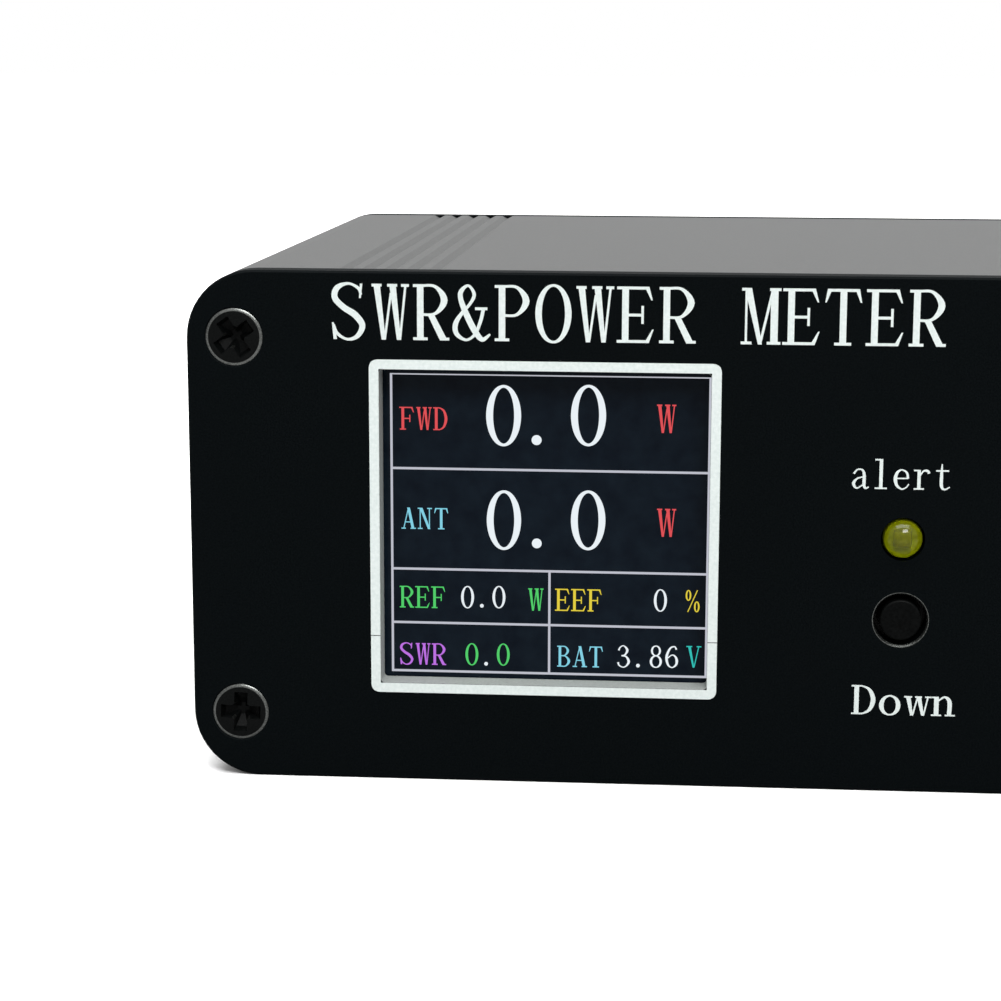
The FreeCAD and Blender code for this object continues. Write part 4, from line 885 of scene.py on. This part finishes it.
def thread(inner, outer, pitch, start, turns):
    """A right-hand screw thread's ridge round +Y; its first and last points sink into the barrel."""
    steps = 60
    bm = bmesh.new()
    corners = [(inner, 0), (outer, pitch * 0.42), (outer, pitch * 0.54), (inner, pitch * 0.96)]
    verts = [bm.verts.new((radius, start + along, 0)) for radius, along in corners]
    edges = [bm.edges.new(pair) for pair in zip(verts, verts[1:] + verts[:1])]
    bmesh.ops.spin(bm, geom=verts + edges, cent=(0, 0, 0), axis=(0, 1, 0), dvec=(0, pitch / steps, 0),
                   angle=2 * math.pi * turns, steps=turns * steps)
    bmesh.ops.holes_fill(bm, edges=[edge for edge in bm.edges if edge.is_boundary])
    return bm


def flange():
    """The square plate; its corners and its outer edge are rounded."""
    bm = block(flange_side, flange_thick, flange_side)
    bmesh.ops.translate(bm, verts=bm.verts, vec=(0, flange_thick / 2, 0))
    corners = [edge for edge in bm.edges if abs(edge.verts[0].co.y - edge.verts[1].co.y) > mm]
    round_off(bm, corners, 1 * mm, 6)
    rim = [edge for edge in bm.edges if all(vert.co.y > flange_thick - 0.1 * mm for vert in edge.verts)]
    round_off(bm, rim, 0.18 * mm, 2)
    return bm


def radio_sockets():
    for name in ("transmitter", "antenna"):
        spot = middle_of(name + "_socket")
        place = Matrix.Translation((spot.x, rear_face, spot.z))
        ridge = thread(inner=7.36 * mm, outer=7.92 * mm, pitch=1.058 * mm, start=2.2 * mm, turns=8)
        for part, bm in (("_barrel", barrel()), ("_thread", ridge), ("_flange", flange())):
            bmesh.ops.transform(bm, matrix=place, verts=bm.verts)
            made = add_piece(name + part, bm, [plate_finish], "case")
            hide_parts(name + "_socket")


def socket_screws():
    bm = turned([(0, -1.8), (1.0, -1.76), (1.8, -1.56), (2.4, -1.18), (2.72, -0.62), (2.8, -0.2),
                 (2.8, -0.05), (2.75, 0), (1.5, 0), (1.5, 6.2), (1.3, 6.4), (0, 6.4)], 48)
    bm = carve(bm, driver_tip(3.2 * mm, 0.9 * mm, 1.2 * mm, -2.4 * mm, 0.15 * mm))
    places = []
    turns = iter((0, 37, 74, 21, 58, 5, 42, 79))
    for name in ("transmitter", "antenna"):
        spot = middle_of(name + "_socket")
        for across in (-flange_screw, flange_screw):
            for up in (-flange_screw, flange_screw):
                places.append(Matrix.Translation((spot.x + across, rear_face + flange_thick, spot.z
                                                  + up))
                              @ Matrix.Rotation(math.radians(next(turns)), 4, "Y")
                              @ Matrix.Rotation(math.pi, 4, "Z"))
    made = add_piece("socket_pan_screws", copies(bm, places), [steel_finish], "case")
    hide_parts("socket_screws")


radio_sockets()
socket_screws()
dress_nodes(ptfe_finish, "transmitter_insulator", "antenna_insulator")
dress_nodes(gold_finish, "transmitter_contact", "antenna_contact")
dress_nodes(steel_finish, "socket_nuts")


# ---- Charging socket ----
# A drawn steel shell soldered to the main board's tab.
# The black moulded tongue inside it carries twelve gold-plated pads on each face.

port_finish = finish("drawn_steel", (0.40, 0.40, 0.41), (0.55, 0.55, 0.56), (0.25, 0.4), 0.12 * mm,
                     (1, 0.3, 1),
                     0.003 * mm, metallic=1.0)
dress_nodes(port_finish, "charging_socket")
dress_nodes(switch_finish, "charging_tongue")


def tongue_pads():
    pad_pitch = 0.5 * mm
    pad_count = 12
    low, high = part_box("charging_tongue")
    bm = block(0.26 * mm, 3.2 * mm, 0.02 * mm)
    round_off(bm, bm.edges[:], 0.005 * mm, 1)
    places = []
    for face in (low.z, high.z):
        for k in range(pad_count):
            x = (low.x + high.x) / 2 + (k - (pad_count - 1) / 2) * pad_pitch
            places.append(Matrix.Translation((x, high.y - 1.9 * mm, face)))
    add_piece("tongue_pads", copies(bm, places), [gold_finish], "case")


tongue_pads()


# ---- Rear legends ----
# The same white ink as the front, screened on the rear plate above each socket.
# It names the transmitter's socket, the antenna's socket and the 5 volt charging socket.

def rear_legends():
    top_line = 33.1 * mm
    bm = bmesh.new()
    for name, socket, left in (("TX", "transmitter_socket", 1.9), ("ANT", "antenna_socket", 2.9)):
        write(bm, name, middle_of(socket).x + left * mm, top_line, 2.4 * mm, 2.1 * mm, y=rear_face,
              facing=-1)
    write(bm, "5V", 1.7 * mm, 16.2 * mm, 2.0 * mm, 1.8 * mm, y=rear_face, facing=-1)
    raise_ink(bm, facing=-1)
    add_piece("rear_legends", bm, [print_white], "case")


rear_legends()


# ---- Circuit boards ----
# Two fibreglass boards under a green coating: one upright behind the display, one flat along the case.
# Etched copper tracks stand a little proud under the coating and show through it as paler lines.

def coated_board():
    made = finish("solder_mask", (0.004, 0.05, 0.018), (0.008, 0.075, 0.028), (0.28, 0.4), 0.9 * mm)
    nodes = made.node_tree.nodes
    links = made.node_tree.links
    where = nodes.new("ShaderNodeTexCoord")
    tracks = nodes.new("ShaderNodeTexBrick")
    tracks.offset = 0.37
    tracks.inputs["Scale"].default_value = 110
    tracks.inputs["Mortar Size"].default_value = 0.03
    tracks.inputs["Mortar"].default_value = (0.02, 0.16, 0.06, 1)
    links.new(where.outputs["Object"], tracks.inputs["Vector"])
    ground = nodes["Color Ramp"]
    links.new(ground.outputs["Color"], tracks.inputs["Color1"])
    links.new(ground.outputs["Color"], tracks.inputs["Color2"])
    links.new(tracks.outputs["Color"], nodes["Principled BSDF"].inputs["Base Color"])
    raised = nodes.new("ShaderNodeBump")
    raised.inputs["Distance"].default_value = 0.03 * mm
    links.new(tracks.outputs["Fac"], raised.inputs["Height"])
    links.new(raised.outputs["Normal"], nodes["Principled BSDF"].inputs["Normal"])
    return made


dress_nodes(coated_board(), "control_board", "main_board")


# ---- Board parts ----
# Moulded chips, a ferrite-cased inductor, aluminium can capacitors and small resistors.
# All are soldered to the boards.

resin_finish = finish("chip_resin", (0.010, 0.010, 0.011), (0.022, 0.022, 0.024), (0.55, 0.75),
                      0.12 * mm, relief=0.006 * mm)
dress_nodes(resin_finish, "controller_chip", "charger_chip", "board_resistors")
ferrite_finish = finish("ferrite", (0.030, 0.030, 0.033), (0.065, 0.066, 0.07), (0.5, 0.7), 0.2 * mm,
                        relief=0.012 * mm)
dress_nodes(ferrite_finish, "power_inductor", "forward_core", "reverse_core")
can_finish = finish("can_aluminium", (0.5, 0.5, 0.51), (0.66, 0.66, 0.67), (0.28, 0.4), 0.12 * mm,
                    (1, 1, 6), 0.003 * mm, metallic=1.0)
dress_nodes(can_finish, "board_capacitors")


# ---- Directional coupler ----
# A straight copper line from socket to socket passes through two ferrite rings wound with wire.
# Two load resistors and two glass diodes turn what the windings pick up into the readings.

copper_finish = finish("copper", (0.45, 0.15, 0.06), (0.6, 0.22, 0.1), (0.2, 0.35), 0.2 * mm,
                       relief=0.003 * mm, metallic=1.0)
dress_nodes(copper_finish, "through_line", "sampling_line")
enamel_finish = finish("enamelled_wire", (0.30, 0.06, 0.015), (0.46, 0.11, 0.03), (0.12, 0.25),
                       0.3 * mm, metallic=0.6, Coat_Weight=0.6)
dress_nodes(enamel_finish, "forward_winding", "reverse_winding")
resistor_finish = finish("resistor_lacquer", (0.10, 0.16, 0.26), (0.15, 0.22, 0.34), (0.3, 0.45),
                         0.25 * mm, relief=0.006 * mm)
dress_nodes(resistor_finish, "load_resistors")
diode_finish = finish("diode_glass", (0.26, 0.07, 0.02), (0.42, 0.13, 0.04), (0.06, 0.14), 0.6 * mm,
                      (3, 0.6, 3), Coat_Weight=0.5)
dress_nodes(diode_finish, "detector_diodes")


# ---- Battery ----
# A flat lithium cell in crimped foil, stuck down with foam tape.
# Its two sleeved leads end in a white plug.

foil_finish = finish("cell_foil", (0.45, 0.45, 0.47), (0.62, 0.62, 0.64), (0.24, 0.4), 0.9 * mm,
                     relief=0.02 * mm, metallic=1.0)
dress_nodes(foil_finish, "battery_cell")
dress_nodes(backlight_finish, "battery_plug", "battery_socket")
lead_finish = finish("lead_sleeve", (0.38, 0.01, 0.01), (0.5, 0.016, 0.014), (0.35, 0.48), 0.3 * mm,
                     relief=0.003 * mm)
dress_nodes(lead_finish, "battery_leads")
